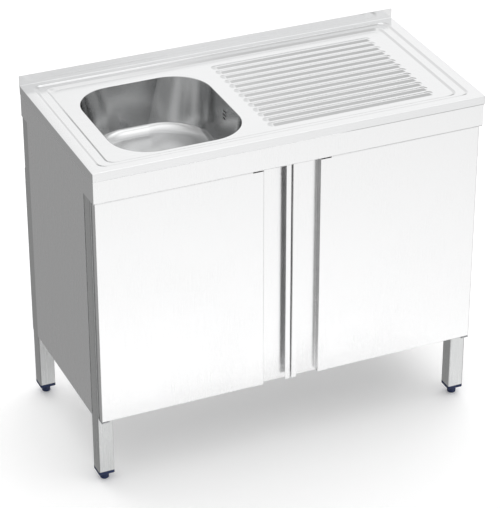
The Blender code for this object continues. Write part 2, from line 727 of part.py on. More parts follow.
def make_overflow_pipe():
    """Bent pipe that slips over the spigots of the overflow head and the outlet."""
    side = spigot_frame()
    head_end = overflow_height() - HEAD_RADIUS - SPIGOT_LENGTH
    start = Vector((head_spigot_x(), overflow_y(), head_end + PIPE_LAP))
    end = side @ Vector((0.0, 0.0, TAIL_RADIUS + SPIGOT_LENGTH - PIPE_LAP))
    level = side.to_3x3() @ Vector((0.0, 0.0, 1.0))
    across = level.cross(Vector((0.0, 0.0, 1.0)))
    bend_start = start - Vector((0.0, 0.0, PIPE_STRAIGHT))
    bend_end = end + level * PIPE_STRAIGHT
    corner = Vector((start.x, start.y, end.z))
    points = [start, (start + bend_start) / 2]
    for step in range(PIPE_STEPS + 1):
        share = step / PIPE_STEPS
        first = bend_start.lerp(corner, share)
        second = corner.lerp(bend_end, share)
        points.append(first.lerp(second, share))
    points += [(bend_end + end) / 2, end]
    inner = around(SPIGOT_RADIUS, ROUND_SEGMENTS)
    bm = bmesh.new()
    shells = []
    for radius in (inner + PIPE_WALL, inner):
        rings = []
        for before, point, after in zip(points[:1] + points, points, points[1:] + points[-1:]):
            tangent = (after - before).normalized()
            frame = Matrix((across, tangent.cross(across), tangent)).transposed()
            spots = circle(radius, 0.0, ROUND_SEGMENTS)
            rings.append(add_ring(bm, [point + frame @ spot for spot in spots]))
        for first, second in zip(rings, rings[1:]):
            join_rings(bm, first, second)
        shells.append(rings)
    for mouth in (0, -1):
        join_rings(bm, shells[0][mouth], shells[1][mouth])
    add_solid("overflow_pipe", bm, "white_plastic")


def make_fascia():
    """Folded channel under the front lip; its lower flange carries the upper hinge pins."""
    outline = [
        (BODY_FRONT, FASCIA_BOTTOM),
        (FLANGE_BACK, FASCIA_BOTTOM),
        (FLANGE_BACK, FASCIA_BOTTOM + BODY_SHEET),
        (BODY_FRONT + BODY_SHEET, FASCIA_BOTTOM + BODY_SHEET),
        (BODY_FRONT + BODY_SHEET, BODY_TOP - BODY_SHEET),
        (BODY_FRONT + FASCIA_TOP_FLANGE, BODY_TOP - BODY_SHEET),
        (BODY_FRONT + FASCIA_TOP_FLANGE, BODY_TOP),
        (BODY_FRONT, BODY_TOP),
    ]
    end = BODY_HALF - BODY_SHEET - FASCIA_END_GAP
    bm = bmesh.new()
    add_prism(bm, [(-end, y, z) for y, z in outline], [(end, y, z) for y, z in outline])
    fascia = add_solid("front_fascia", bm, "steel_body")
    holes = bmesh.new()
    hole = around(PIN_RADIUS, ROUND_SEGMENTS)
    for side in (-1, 1):
        place = at(side * PIN_X, PIN_Y, FASCIA_BOTTOM)
        add_rod(holes, hole, -BODY_SHEET, 2 * BODY_SHEET, ROUND_SEGMENTS, place)
    combine(fascia, "fascia_pin_holes", holes, "DIFFERENCE")


def make_rear_rail():
    outline = [
        (REAR, FASCIA_BOTTOM),
        (REAR, BODY_TOP),
        (REAR - REAR_RAIL_FLANGE, BODY_TOP),
        (REAR - REAR_RAIL_FLANGE, BODY_TOP - BODY_SHEET),
        (REAR - BODY_SHEET, BODY_TOP - BODY_SHEET),
        (REAR - BODY_SHEET, FASCIA_BOTTOM),
    ]
    end = LEG_OUTER
    bm = bmesh.new()
    add_prism(bm, [(-end, y, z) for y, z in outline], [(end, y, z) for y, z in outline])
    add_solid("rear_rail", bm, "steel_body")


def make_side_panel(name, side):
    """Skirt under the worktop and a narrower sheet between the legs, folded in at top and bottom."""
    outer = side * BODY_HALF
    low_front = FRONT_LEG_BACK - PANEL_LEG_LAP
    low_rear = REAR_LEG_FACE + PANEL_LEG_LAP
    fold_front = FRONT_LEG_BACK + FIT_GAP
    fold_rear = REAR_LEG_FACE - FIT_GAP
    top_front = BODY_FRONT + FASCIA_TOP_FLANGE + FIT_GAP
    top_rear = REAR - REAR_RAIL_FLANGE - FIT_GAP
    outline = [
        (low_front, PANEL_BOTTOM),
        (fold_front, PANEL_BOTTOM),
        (fold_rear, PANEL_BOTTOM),
        (low_rear, PANEL_BOTTOM),
        (low_rear, FASCIA_BOTTOM),
        (REAR, FASCIA_BOTTOM),
        (REAR, BODY_TOP),
        (top_rear, BODY_TOP),
        (top_front, BODY_TOP),
        (BODY_FRONT, BODY_TOP),
        (BODY_FRONT, FASCIA_BOTTOM),
        (low_front, FASCIA_BOTTOM),
    ]
    bm = bmesh.new()
    add_face(bm, [(outer, y, z) for y, z in outline])
    low_fold = (fold_front, fold_rear, PANEL_BOTTOM, PANEL_FLANGE)
    top_fold = (top_front, top_rear, BODY_TOP, PANEL_TOP_FLANGE)
    for front, rear, height, flange in (low_fold, top_fold):
        inner = outer - side * flange
        plan = [(outer, front), (outer, rear), (inner, rear), (inner, front)]
        add_face(bm, [(x, y, height) for x, y in plan])
    add_sheet(name, bm, (side, 0, 0), BODY_SHEET, "steel_body")


def make_back_panel():
    """Sheet behind the rear legs, folded in between them at top and bottom."""
    top = PANEL_BOTTOM + BACK_PANEL_HEIGHT
    fold = LEG_INNER - FIT_GAP
    front = REAR - PANEL_FLANGE
    across = (-LEG_OUTER, -fold, fold, LEG_OUTER)
    bm = bmesh.new()
    add_face(bm, [(x, REAR, PANEL_BOTTOM) for x in across] + [(x, REAR, top) for x in reversed(across)])
    plan = [(-fold, REAR), (fold, REAR), (fold, front), (-fold, front)]
    for height in (PANEL_BOTTOM, top):
        add_face(bm, [(x, y, height) for x, y in plan])
    add_sheet("back_panel", bm, (0, 1, 0), BODY_SHEET, "steel_body")


def make_shelf():
    """Cabinet floor, notched round the legs, with its edges turned down onto the panel folds."""
    wide = BODY_HALF - BODY_SHEET - FIT_GAP
    narrow = LEG_INNER - FIT_GAP
    front = FRONT_LEG_FACE + SHELF_SETBACK
    rear = REAR - BODY_SHEET - FIT_GAP
    notch_front = FRONT_LEG_BACK + FIT_GAP
    notch_rear = REAR_LEG_FACE - FIT_GAP
    low = SHELF_LEVEL - SHELF_HEIGHT
    right = [(narrow, front), (narrow, notch_front), (wide, notch_front)]
    right += [(wide, notch_rear), (narrow, notch_rear), (narrow, rear)]
    plan = right + [(-x, y) for x, y in reversed(right)]
    bm = bmesh.new()
    add_face(bm, [(x, y, SHELF_LEVEL) for x, y in plan])
    edges = [((-narrow, front), (narrow, front)), ((-narrow, rear), (narrow, rear))]
    edges += [((side * wide, notch_front), (side * wide, notch_rear)) for side in (-1, 1)]
    for first, second in edges:
        add_face(bm, [(*first, SHELF_LEVEL), (*second, SHELF_LEVEL), (*second, low), (*first, low)])
    add_sheet("bottom_shelf", bm, (0, 0, 1), BODY_SHEET, "steel_body")


def make_leg(name, side, front):
    """Square tube with its blue plug and the adjustable foot below."""
    half = LEG_SIZE / 2
    inner = half - LEG_WALL
    x = side * (LEG_OUTER - half)
    y = front + half
    place = at(x, y, 0.0)
    bm = bmesh.new()
    heights = [(half, LEG_BOTTOM), (half, LEG_TOP), (inner, LEG_TOP), (inner, LEG_BOTTOM)]
    corners = [(-1, -1), (1, -1), (1, 1), (-1, 1)]
    rings = [[Vector((u * size, v * size, height)) for u, v in corners] for size, height in heights]
    add_stack(bm, rings, place)
    add_solid(name + "_leg", bm, "steel_body")

    bore = around(STEM_RADIUS, ROUND_SEGMENTS)
    spigot = inner - FIT_GAP
    flange_top = LEG_BOTTOM - FIT_GAP
    flange_bottom = LEG_BOTTOM - PLUG_FLANGE
    rings = [
        circle(bore, flange_bottom, ROUND_SEGMENTS),
        square(half, flange_bottom, ROUND_SEGMENTS),
        square(half, flange_top, ROUND_SEGMENTS),
        square(spigot, flange_top, ROUND_SEGMENTS),
        square(spigot, flange_top + PLUG_SPIGOT, ROUND_SEGMENTS),
        circle(bore, flange_top + PLUG_SPIGOT, ROUND_SEGMENTS),
    ]
    bm = bmesh.new()
    add_stack(bm, rings, place)
    add_solid(name + "_leg_plug", bm, "blue_plastic")

    foot_top = flange_bottom - FIT_GAP
    outline = [
        (0.0, 0.0),
        (FOOT_RADIUS - FOOT_CHAMFER, 0.0),
        (FOOT_RADIUS, FOOT_CHAMFER),
        (FOOT_RADIUS, foot_top - FOOT_CHAMFER),
        (FOOT_RADIUS - FOOT_CHAMFER, foot_top),
        (STEM_RADIUS, foot_top),
        (STEM_RADIUS, foot_top + STEM_LENGTH),
        (0.0, foot_top + STEM_LENGTH),
    ]
    bm = bmesh.new()
    add_turned(bm, outline, ROUND_SEGMENTS, place)
    add_solid(name + "_foot", bm, "blue_plastic", (x, y, 0.0))


def arc(centre, radius, start, stop):
    """Points of a bend in the plan of the door, from one angle to another."""
    points = []
    for step in range(BEND_SEGMENTS + 1):
        turn = math.radians(start + (stop - start) * step / BEND_SEGMENTS)
        points.append((centre[0] + radius * math.cos(turn), centre[1] + radius * math.sin(turn)))
    return points


def door_plan():
    """Outer surface of the door in plan: distance from its hinge edge, and from its front face.

    Returns the points before the flat front, the three points along it, and the points after it.
    """
    thick = DOOR_THICKNESS
    before = [(DOOR_BACK_FLANGE, thick)]
    before += arc((DOOR_REAR_RADIUS, thick - DOOR_REAR_RADIUS), DOOR_REAR_RADIUS, 90, 180)
    before += arc((DOOR_FRONT_RADIUS, DOOR_FRONT_RADIUS), DOOR_FRONT_RADIUS, 180, 270)
    flange_start = DOOR_FRONT_RADIUS + DOOR_SHEET
    front = [(flange_start, 0.0), (CHANNEL_START - NOTCH_WIDTH, 0.0), (CHANNEL_START, 0.0)]
    middle = CHANNEL_DEPTH - CHANNEL_RADIUS
    after = arc((CHANNEL_START + CHANNEL_RADIUS, middle), CHANNEL_RADIUS, 180, 90)
    after += arc((CHANNEL_END - CHANNEL_RADIUS, middle), CHANNEL_RADIUS, 90, 0)
    after += [(CHANNEL_END, 0.0), (DOOR_WIDTH, 0.0), (DOOR_WIDTH, thick), (DOOR_WIDTH - LIP_FLANGE, thick)]
    return before, front, after


def make_door_skin(name, place_point, hinge):
    before, front, after = door_plan()
    notch = DOOR_TOP - NOTCH_DEPTH
    bm = bmesh.new()
    flange_start, notch_start, notch_end = front
    plain = [before + [flange_start], after]
    for run in plain:
        for first, second in zip(run, run[1:]):
            low = [place_point(*first, DOOR_BOTTOM), place_point(*second, DOOR_BOTTOM)]
            high = [place_point(*second, DOOR_TOP), place_point(*first, DOOR_TOP)]
            add_face(bm, low + high)
    flat = [place_point(*flange_start, DOOR_BOTTOM), place_point(*notch_start, DOOR_BOTTOM)]
    flat += [place_point(*notch_start, height) for height in (notch, DOOR_TOP)]
    flat.append(place_point(*flange_start, DOOR_TOP))
    add_face(bm, flat)
    short = [place_point(*notch_start, DOOR_BOTTOM), place_point(*notch_end, DOOR_BOTTOM)]
    short += [place_point(*notch_end, notch), place_point(*notch_start, notch)]
    add_face(bm, short)
    wall = [place_point(*notch_end, DOOR_BOTTOM), place_point(*after[0], DOOR_BOTTOM)]
    wall += [place_point(*after[0], DOOR_TOP)]
    wall += [place_point(*notch_end, height) for height in (DOOR_TOP, notch)]
    add_face(bm, wall)
    fold_back = LINER_FRONT - FIT_GAP
    for height in (DOOR_BOTTOM, DOOR_TOP):
        plan = [flange_start, notch_start, (notch_start[0], fold_back), (flange_start[0], fold_back)]
        add_face(bm, [place_point(*point, height) for point in plan])
    skin = add_sheet(name, bm, (0, 1, 0), DOOR_SHEET, "steel_door", hinge)
    holes = bmesh.new()
    reach = 2 * DOOR_SHEET
    for height in (DOOR_BOTTOM, DOOR_TOP):
        place = at(*hinge[:2], height)
        add_rod(holes, around(BUSH_RADIUS, ROUND_SEGMENTS), -reach, reach, ROUND_SEGMENTS, place)
    combine(skin, name + "_bush_holes", holes, "DIFFERENCE")


def make_bush(name, hinge, height, up):
    """Flanged nylon bush in the end of a door; up is 1 where its body points up into the door."""
    place = at(*hinge[:2], height) @ Matrix.Diagonal((1.0, 1.0, up, 1.0))
    bore = around(PIN_RADIUS, ROUND_SEGMENTS)
    flange = BUSH_RADIUS + BUSH_FLANGE_WIDTH
    outline = [
        (bore, -FIT_GAP - BUSH_FLANGE_HEIGHT),
        (flange, -FIT_GAP - BUSH_FLANGE_HEIGHT),
        (flange, -FIT_GAP),
        (BUSH_RADIUS, -FIT_GAP),
        (BUSH_RADIUS, PIN_REACH),
        (bore, PIN_REACH),
    ]
    bm = bmesh.new()
    add_turned(bm, outline, ROUND_SEGMENTS, place)
    add_solid(name, bm, "white_plastic", hinge)


def make_pin(name, hinge, head, tip):
    """Headed hinge pin from the level under its head to its tip."""
    away = math.copysign(PIN_HEAD_HEIGHT, head - tip)
    outline = [
        (0.0, head + away),
        (PIN_HEAD_RADIUS, head + away),
        (PIN_HEAD_RADIUS, head),
        (PIN_RADIUS, head),
        (PIN_RADIUS, tip),
        (0.0, tip),
    ]
    bm = bmesh.new()
    add_turned(bm, outline, ROUND_SEGMENTS, at(*hinge[:2], 0.0))
    add_solid(name, bm, "steel_part")


def make_door(name, side):
    hinge = (side * PIN_X, PIN_Y, DOOR_BOTTOM)

    def place_point(along, back, height):
        return (side * (HALF_WIDTH - DOOR_SIDE_INSET - along), DOOR_FRONT + back, height)

    make_door_skin(name + "_door_skin", place_point, hinge)
    bm = bmesh.new()
    edge = place_point(DOOR_REAR_RADIUS, LINER_FRONT, DOOR_BOTTOM)
    far = place_point(DOOR_WIDTH - DOOR_SHEET - FIT_GAP, LINER_BACK, DOOR_TOP)
    low = (min(edge[0], far[0]), edge[1], edge[2])
    high = (max(edge[0], far[0]), far[1], far[2])
    add_box(bm, low, high)
    add_solid(name + "_door_liner", bm, "steel_body", hinge)
    make_bush(name + "_bottom_bush", hinge, DOOR_BOTTOM, 1)
    make_bush(name + "_top_bush", hinge, DOOR_TOP, -1)
    bm = bmesh.new()
    middle = side * MAGNET_CENTRE
    top = DOOR_TOP - STRIKE_TOP_LAND
    low = (middle - MAGNET_WIDTH / 2, STRIKE_FRONT, top - STRIKE_HEIGHT)
    high = (middle + MAGNET_WIDTH / 2, STRIKE_BACK, top)
    add_box(bm, low, high)
    add_solid(name + "_strike_plate", bm, "steel_part", hinge)


def make_hinge(name, side):
    """Fixed half of a door's hinges: a welded tab below, and a pin at each end of the door."""
    hinge = (side * PIN_X, PIN_Y, DOOR_BOTTOM)
    tab_top = DOOR_BOTTOM - BUSH_FLANGE_HEIGHT - 2 * FIT_GAP
    tab_bottom = tab_top - TAB_THICKNESS
    bm = bmesh.new()
    low = (hinge[0] - TAB_WIDTH / 2, DOOR_FRONT + TAB_FRONT_INSET, tab_bottom)
    high = (hinge[0] + TAB_WIDTH / 2, FRONT_LEG_FACE - FIT_GAP, tab_top)
    add_box(bm, low, high)
    tab = add_solid(name + "_hinge_tab", bm, "steel_part")
    hole = bmesh.new()
    place = at(*hinge[:2], tab_bottom)
    ends = (-TAB_THICKNESS, 2 * TAB_THICKNESS)
    add_rod(hole, around(PIN_RADIUS, ROUND_SEGMENTS), *ends, ROUND_SEGMENTS, place)
    combine(tab, name + "_tab_hole", hole, "DIFFERENCE")
    make_pin(name + "_bottom_pin", hinge, tab_bottom - FIT_GAP, DOOR_BOTTOM + PIN_REACH)
    make_pin(name + "_top_pin", hinge, FASCIA_BOTTOM + BODY_SHEET + FIT_GAP, DOOR_TOP - PIN_REACH)


def screw_points():
    """Places of the catch screws in plan: two through each magnet."""
    y = MAGNET_FRONT + MAGNET_DEPTH / 2
    middles = (-MAGNET_CENTRE, MAGNET_CENTRE)
    return [(middle + side * SCREW_SPACING / 2, y) for middle in middles for side in (-1, 1)]


def screw_holes(low, high):
    bm = bmesh.new()
    for x, y in screw_points():
        add_rod(bm, around(SCREW_RADIUS, SMALL_SEGMENTS), low, high, SMALL_SEGMENTS, at(x, y, 0.0))
    return bm


def make_catches():
    """Plate on the fascia flange with a magnet for each door, held by screws from above."""
    plate_top = CATCH_PLATE_LEVEL + CATCH_PLATE_SHEET
    front = FLANGE_BACK - CATCH_PLATE_LAP
    bm = bmesh.new()
    low = (-CATCH_PLATE_WIDTH / 2, front, CATCH_PLATE_LEVEL)
    high = (CATCH_PLATE_WIDTH / 2, front + CATCH_PLATE_DEPTH, plate_top)
    add_box(bm, low, high)
    plate = add_solid("catch_plate", bm, "steel_body")
    holes = screw_holes(CATCH_PLATE_LEVEL - SCREW_LENGTH, plate_top + SCREW_LENGTH)
    combine(plate, "catch_plate_holes", holes, "DIFFERENCE")
    magnet_top = CATCH_PLATE_LEVEL - FIT_GAP
    tip = magnet_top - SCREW_LENGTH
    for name, side in (("left", -1), ("right", 1)):
        bm = bmesh.new()
        middle = side * MAGNET_CENTRE
        low = (middle - MAGNET_WIDTH / 2, MAGNET_FRONT, magnet_top - MAGNET_HEIGHT)
        high = (middle + MAGNET_WIDTH / 2, MAGNET_FRONT + MAGNET_DEPTH, magnet_top)
        add_box(bm, low, high)
        magnet = add_solid(name + "_catch_magnet", bm, "white_plastic")
        combine(magnet, name + "_magnet_holes", screw_holes(tip - FIT_GAP, plate_top), "DIFFERENCE")
    head = plate_top + FIT_GAP
    outline = [
        (0.0, tip),
        (SCREW_RADIUS, tip),
        (SCREW_RADIUS, head),
        (SCREW_HEAD_RADIUS, head),
        (SCREW_HEAD_RADIUS, head + SCREW_HEAD_HEIGHT),
        (0.0, head + SCREW_HEAD_HEIGHT),
    ]
    for number, (x, y) in enumerate(screw_points(), start=1):
        bm = bmesh.new()
        add_turned(bm, outline, SMALL_SEGMENTS, at(x, y, 0.0))
        add_solid(f"catch_screw_{number}", bm, "steel_part")


def main():
    clear_scene()
    make_worktop()
    make_bowl()
    make_stiffeners()
    make_waste()
    make_outlet()
    make_overflow_head()
    make_overflow_pipe()
    make_fascia()
    make_rear_rail()
    make_back_panel()
    make_shelf()
    make_catches()
    for name, side in (("left", -1), ("right", 1)):
        make_side_panel(name + "_side_panel", side)
        make_leg(name + "_front", side, FRONT_LEG_FACE)
        make_leg(name + "_rear", side, REAR_LEG_FACE)
        make_door(name, side)
        make_hinge(name, side)


main()
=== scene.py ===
"""Looks of a stainless steel sink cabinet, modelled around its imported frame."""
import math

import bmesh
import bpy
from mathutils import Matrix, Vector


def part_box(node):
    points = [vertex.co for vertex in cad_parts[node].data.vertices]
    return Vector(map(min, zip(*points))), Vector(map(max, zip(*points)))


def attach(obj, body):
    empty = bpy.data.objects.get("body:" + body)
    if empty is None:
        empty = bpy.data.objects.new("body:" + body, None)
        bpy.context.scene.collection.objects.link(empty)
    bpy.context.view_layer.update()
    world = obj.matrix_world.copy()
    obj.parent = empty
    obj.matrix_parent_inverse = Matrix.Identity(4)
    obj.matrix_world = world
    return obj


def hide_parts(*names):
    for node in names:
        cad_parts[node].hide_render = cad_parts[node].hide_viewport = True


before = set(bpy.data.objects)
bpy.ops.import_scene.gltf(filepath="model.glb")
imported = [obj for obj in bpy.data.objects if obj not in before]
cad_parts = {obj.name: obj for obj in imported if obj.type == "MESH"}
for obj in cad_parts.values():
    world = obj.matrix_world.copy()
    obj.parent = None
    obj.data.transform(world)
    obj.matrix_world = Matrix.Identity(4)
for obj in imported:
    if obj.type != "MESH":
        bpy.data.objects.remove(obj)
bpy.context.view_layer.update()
scene = bpy.context.scene

# Driving sizes of the cabinet, in metres
WIDTH = 1.0
DEPTH = 0.5
TOP_HEIGHT = 0.863
UPSTAND_HEIGHT = 0.0255
TOP_SHEET = 0.0012
BODY_SHEET = 0.001
BOWL_SHEET = 0.001
HALF_WIDTH = WIDTH / 2
FRONT = -DEPTH / 2
REAR = DEPTH / 2
BOX_MARGIN = 0.0001
UPSTAND_FACE = REAR - TOP_SHEET - BOX_MARGIN

# Worktop edges: rolled lip on three sides, fillet and upstand at the rear
LIP_HEIGHT = 0.023
EDGE_ROLL = 0.0012
EDGE_CORNER = 0.0004
LIP_HEM_DEPTH = 0.0010
LIP_HEM_HEIGHT = 0.0019
UPSTAND_FILLET = 0.0004
CROWN_START = 0.0085
ROLL_STEPS = 6

# Recess: a shallow outer step, a ledge and a deeper inner slope, set in from the side, front and rear edges
STEP_STARTS = (0.0248, 0.0240, 0.0170)
STEP_RUNS = (0.0083, 0.0040, 0.0083)
STEP_DROP = 0.002
STEP_RADIUS = 0.020
SLOPE_STARTS = (0.0510, 0.0380, 0.0360)
SLOPE_RUNS = (0.0068, 0.0055, 0.0135)
RECESS_DROP = 0.0025
FLOOR_INSETS = (0.063, 0.047, 0.051)
FLOOR_LEVEL = TOP_HEIGHT - STEP_DROP - RECESS_DROP
FLAT_MARGIN = 0.002
SLOPE_RINGS = 10
SLOPE_FILLET = 0.1
DRAIN_FALL = 0.00003

# Bowl: its plan, its drafted wall, the two stages of its fillet and the seat of the waste
BOWL_WIDTH = 0.3266
BOWL_LANDS = (0.0334, 0.0075, 0.0325)
BOWL_RADIUS = 0.100
BOWL_CORNER_GROWTH = 0.28
BOWL_CORNER_STEPS = 16
BOWL_PLAN_LEVEL = 0.851
BOWL_DRAFT = 0.012
BOWL_DRAFT_HEIGHT = 0.101
BOWL_SLOPE = BOWL_DRAFT / BOWL_DRAFT_HEIGHT
BOWL_EDGE = 0.0010
BOWL_EDGE_RINGS = 8
BOWL_LIP = 0.0020
BOWL_TOP = FLOOR_LEVEL - BOWL_LIP
BOWL_WALL_END = 0.7465
BOWL_WALL_SHARES = (0.0, 0.04, 0.35, 0.70, 1.0)
BOWL_CREASE = 0.004
BOWL_SHOULDER = 0.036
SHOULDER_ANGLE = math.radians(55.0)
FLOOR_ANGLE = math.radians(0.5)
FILLET_RINGS = 20
DISH_RINGS = 12
DISH_START = 0.03
BOWL_SEAT = 0.713
SEAT_MARGIN = 0.0025
SEAT_RIM_WIDTH = 0.004
SEAT_RIM_RISE = 0.0006
SEAT_DROP = 0.0008
SEAT_LEDGE = 0.010
SEAT_LEDGE_DROP = 0.0012
BOWL_LEFT = -HALF_WIDTH + FLOOR_INSETS[0] + BOWL_LANDS[0]
BOWL_RIGHT = BOWL_LEFT + BOWL_WIDTH
BOWL_FRONT = FRONT + FLOOR_INSETS[1] + BOWL_LANDS[1]
BOWL_REAR = REAR - FLOOR_INSETS[2] - BOWL_LANDS[2]
WASTE_LOW, WASTE_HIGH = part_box("waste_flange")
BASIN_X = (WASTE_LOW[0] + WASTE_HIGH[0]) / 2
BASIN_Y = (WASTE_LOW[1] + WASTE_HIGH[1]) / 2

# Overflow slots in the bowl's right wall
OVERFLOW_DROP = 0.043
OVERFLOW_SHIFT = 0.010
OVERFLOW_LEVEL = TOP_HEIGHT - OVERFLOW_DROP
OVERFLOW_Y = BASIN_Y - OVERFLOW_SHIFT
SLOT_RAISE = 0.005
SLOT_HEIGHT = 0.0038
SLOT_PITCH = 0.0084
SLOT_LENGTHS = (0.018, 0.021, 0.018)
SLOT_ROUNDING = 0.49
SLOT_STEPS = 5
CUTTER_LENGTH = 0.06

# Drainer ribs
RIB_COUNT = 13
RIB_PITCH = 0.0281
RIB_WIDTH = 0.024
RIB_FLANK_ANGLE = math.radians(14.0)
RIB_FLANK = 0.0080
RIB_LEFT = -0.035
RIB_RIGHT = 0.398
RIB_MIDDLE = -0.0067
RIB_RINGS = 7
RIB_FOOT_WIDTH = 0.0006
RIB_FOOT_RISE = 0.00004
RIB_CROWN_SHARE = 0.9
RIB_END_SHARE = 0.985

# Doors
DOOR_FOLD = 0.0012
DOOR_FOLD_STEPS = 3
CHANNEL_WIDTH = 0.0575
CHANNEL_DEPTH = 0.0165
LIP_WIDTH = 0.013
NOTCH_WIDTH = 0.028
NOTCH_DEPTH = 0.0033
DOOR_REAR_RADIUS = 0.006
DOOR_FRONT_RADIUS = 0.002
DOOR_BACK_FLANGE = 0.020
DOOR_FLANGE_DEPTH = 0.018
DOOR_FLANGE_MARGIN = 0.001

# Cabinet sheets and tubes
FIT_GAP = 0.0003
FOLD_RADIUS = 0.0015
FASCIA_TOP_FLANGE = 0.018
FASCIA_FOLD = 0.003
PANEL_FLANGE = 0.020
SIDE_TOP_FLANGE = 0.015
SIDE_FRONT_LAP = 0.005
SIDE_REAR_LAP = 0.0005
HAT_BRIM = 0.012
TUBE_RADIUS = 0.003
LEG_WALL = 0.0015

# Leg plugs and feet
PLUG_ROUNDING = 0.0012
PLUG_BEND = 0.0004
PLUG_EDGE = 0.0006
PLUG_STEP = 0.0001
PLUG_UNDER_RADIUS = 0.0025
PLUG_CORE_RADIUS = 0.002
FOOT_EDGE = 0.0015
STEM_RADIUS = 0.005
THREAD_STEP = 0.0015
THREAD_DEPTH = 0.0006
FOOT_SOFTNESS = 0.0004
FOOT_STEPS = 48

# Hinges and catches
BUSH_WALL = 0.0017
BUSH_BORE = 0.0043
BUSH_FLANGE = 0.0015
BUSH_EDGE = 0.0003
PIN_RADIUS = 0.004
PIN_HEAD = 0.002
PIN_EDGE = 0.0005
PIN_STEPS = 40
TAB_EDGE = 0.0008
MAGNET_EDGE = 0.001
MAGNET_RIM = 0.002
MAGNET_RECESS = 0.0006
SCREW_COUNT = 4
SCREW_TIP = 0.0006
SCREW_HEAD = 0.002
SCREW_EDGE = 0.0002
SCREW_STEPS = 24
SCREW_DOME = ((0.92, 0.0006), (0.6, 0.0), (0.3, 0.0008), (0.0, 0.0009))

# Softness of edges, steps of rounds and how close counts as the same place
RIM_SOFTNESS = 0.00025
RIM_STEPS = 2
RIM_ANGLE = math.radians(50.0)
SHEET_EDGE = 0.0003
SMALL_EDGE = 0.0006
BLOCK_STEPS = 2
PROFILE_STEPS = 3
FOLD_STEPS = 4
FOLD_ANGLE = math.radians(40.0)
CORNER_STEPS = 6
ROUND_STEPS = 64
SHARP_ANGLE = math.radians(35.0)
FLAT_TURN = math.radians(1.0)
FLAT_SHARE = 5.0
NEAR = 0.0001
MERGE_DISTANCE = 0.00001
QUARTER_TURN = math.pi / 2


# Materials

# Range of the noise, strength of its effects, heights of the grain in metres and noise scales along each axis
NOISE_LOW = 0.3
NOISE_HIGH = 0.7
SMUDGE_SHINE = -0.012
SMUDGE_DULLING = 0.02
GRAIN_STRENGTH = 0.2
PIT_STRENGTH = 0.5
SATIN_GRAIN = 0.00002
SHEET_GRAIN = 0.000008
DRAWN_GRAIN = 0.000006
ALONG_X = (14.0, 1100.0, 1100.0)
ALONG_Z = (1100.0, 1100.0, 14.0)
FINE_ALL = (700.0, 700.0, 700.0)


def add_node(tree, kind, links=None, **values):
    """One shader node with its settings, input values and incoming links."""
    node = tree.nodes.new(kind)
    for name, value in values.items():
        setattr(node, name, value)
    for socket, source in (links or {}).items():
        if isinstance(source, bpy.types.NodeSocket):
            tree.links.new(source, node.inputs[socket])
        else:
            node.inputs[socket].default_value = source
    return node


def make_group(name, inputs, outputs):
    """An empty shader node group with float or vector inputs and float outputs."""
    tree = bpy.data.node_groups.new(name, "ShaderNodeTree")
    for socket, kind, value in inputs:
        made = tree.interface.new_socket(name=socket, in_out="INPUT", socket_type=kind)
        made.default_value = value
    for socket in outputs:
        tree.interface.new_socket(name=socket, in_out="OUTPUT", socket_type="NodeSocketFloat")
    return tree


def make_brushing_group():
    """Fine brushing lines, stretched along one axis, and broad soft smudges."""
    tree = make_group("brushing", [
        ("Stretch", "NodeSocketVector", (20.0, 900.0, 900.0)),
        ("Smudge Scale", "NodeSocketFloat", 7.0),
    ], ["Grain", "Smudge"])
    entry = add_node(tree, "NodeGroupInput")
    place = add_node(tree, "ShaderNodeTexCoord")
    stretched = add_node(tree, "ShaderNodeMapping", {
        "Vector": place.outputs["Object"], "Scale": entry.outputs["Stretch"]})
    grain = add_node(tree, "ShaderNodeTexNoise", {
        "Vector": stretched.outputs["Vector"], "Scale": 1.0, "Detail": 3.0, "Roughness": 0.6})
    smudge = add_node(tree, "ShaderNodeTexNoise", {
        "Vector": place.outputs["Object"], "Scale": entry.outputs["Smudge Scale"],
        "Detail": 4.0, "Roughness": 0.55, "Distortion": 0.6})
    leave = add_node(tree, "NodeGroupOutput")
    tree.links.new(grain.outputs["Fac"], leave.inputs["Grain"])
    tree.links.new(smudge.outputs["Fac"], leave.inputs["Smudge"])
    return tree


def make_moulding_group():
    """Fine pitting of moulded plastic and slow changes of its gloss."""
    tree = make_group("moulding", [
        ("Pit Scale", "NodeSocketFloat", 900.0),
        ("Cloud Scale", "NodeSocketFloat", 40.0),
    ], ["Pits", "Cloud"])
    entry = add_node(tree, "NodeGroupInput")
    place = add_node(tree, "ShaderNodeTexCoord")
    leave = add_node(tree, "NodeGroupOutput")
    for scale, output in (("Pit Scale", "Pits"), ("Cloud Scale", "Cloud")):
        noise = add_node(tree, "ShaderNodeTexNoise", {
            "Vector": place.outputs["Object"], "Scale": entry.outputs[scale], "Detail": 3.0})
        tree.links.new(noise.outputs["Fac"], leave.inputs[output])
    return tree


def new_material(name):
    """An empty node material with its shader."""
    material = bpy.data.materials.new(name)
    material.use_nodes = True
    shader = material.node_tree.nodes["Principled BSDF"]
    return material, material.node_tree, shader


def spread(tree, source, start, stop, low=0.0, high=1.0, kind="SMOOTHSTEP"):
    """The source value carried from one range to another, softly or in a straight line."""
    node = add_node(tree, "ShaderNodeMapRange", {
        "Value": source, "From Min": start, "From Max": stop, "To Min": low, "To Max": high},
        interpolation_type=kind)
    return node.outputs["Result"]


def ranged(tree, source, low, high):
    """A noise value spread between two values."""
    return spread(tree, source, NOISE_LOW, NOISE_HIGH, low, high, "LINEAR")


def combine(tree, operation, first, second):
    """Two values put together by one operation."""
    return add_node(tree, "ShaderNodeMath", {0: first, 1: second}, operation=operation).outputs["Value"]


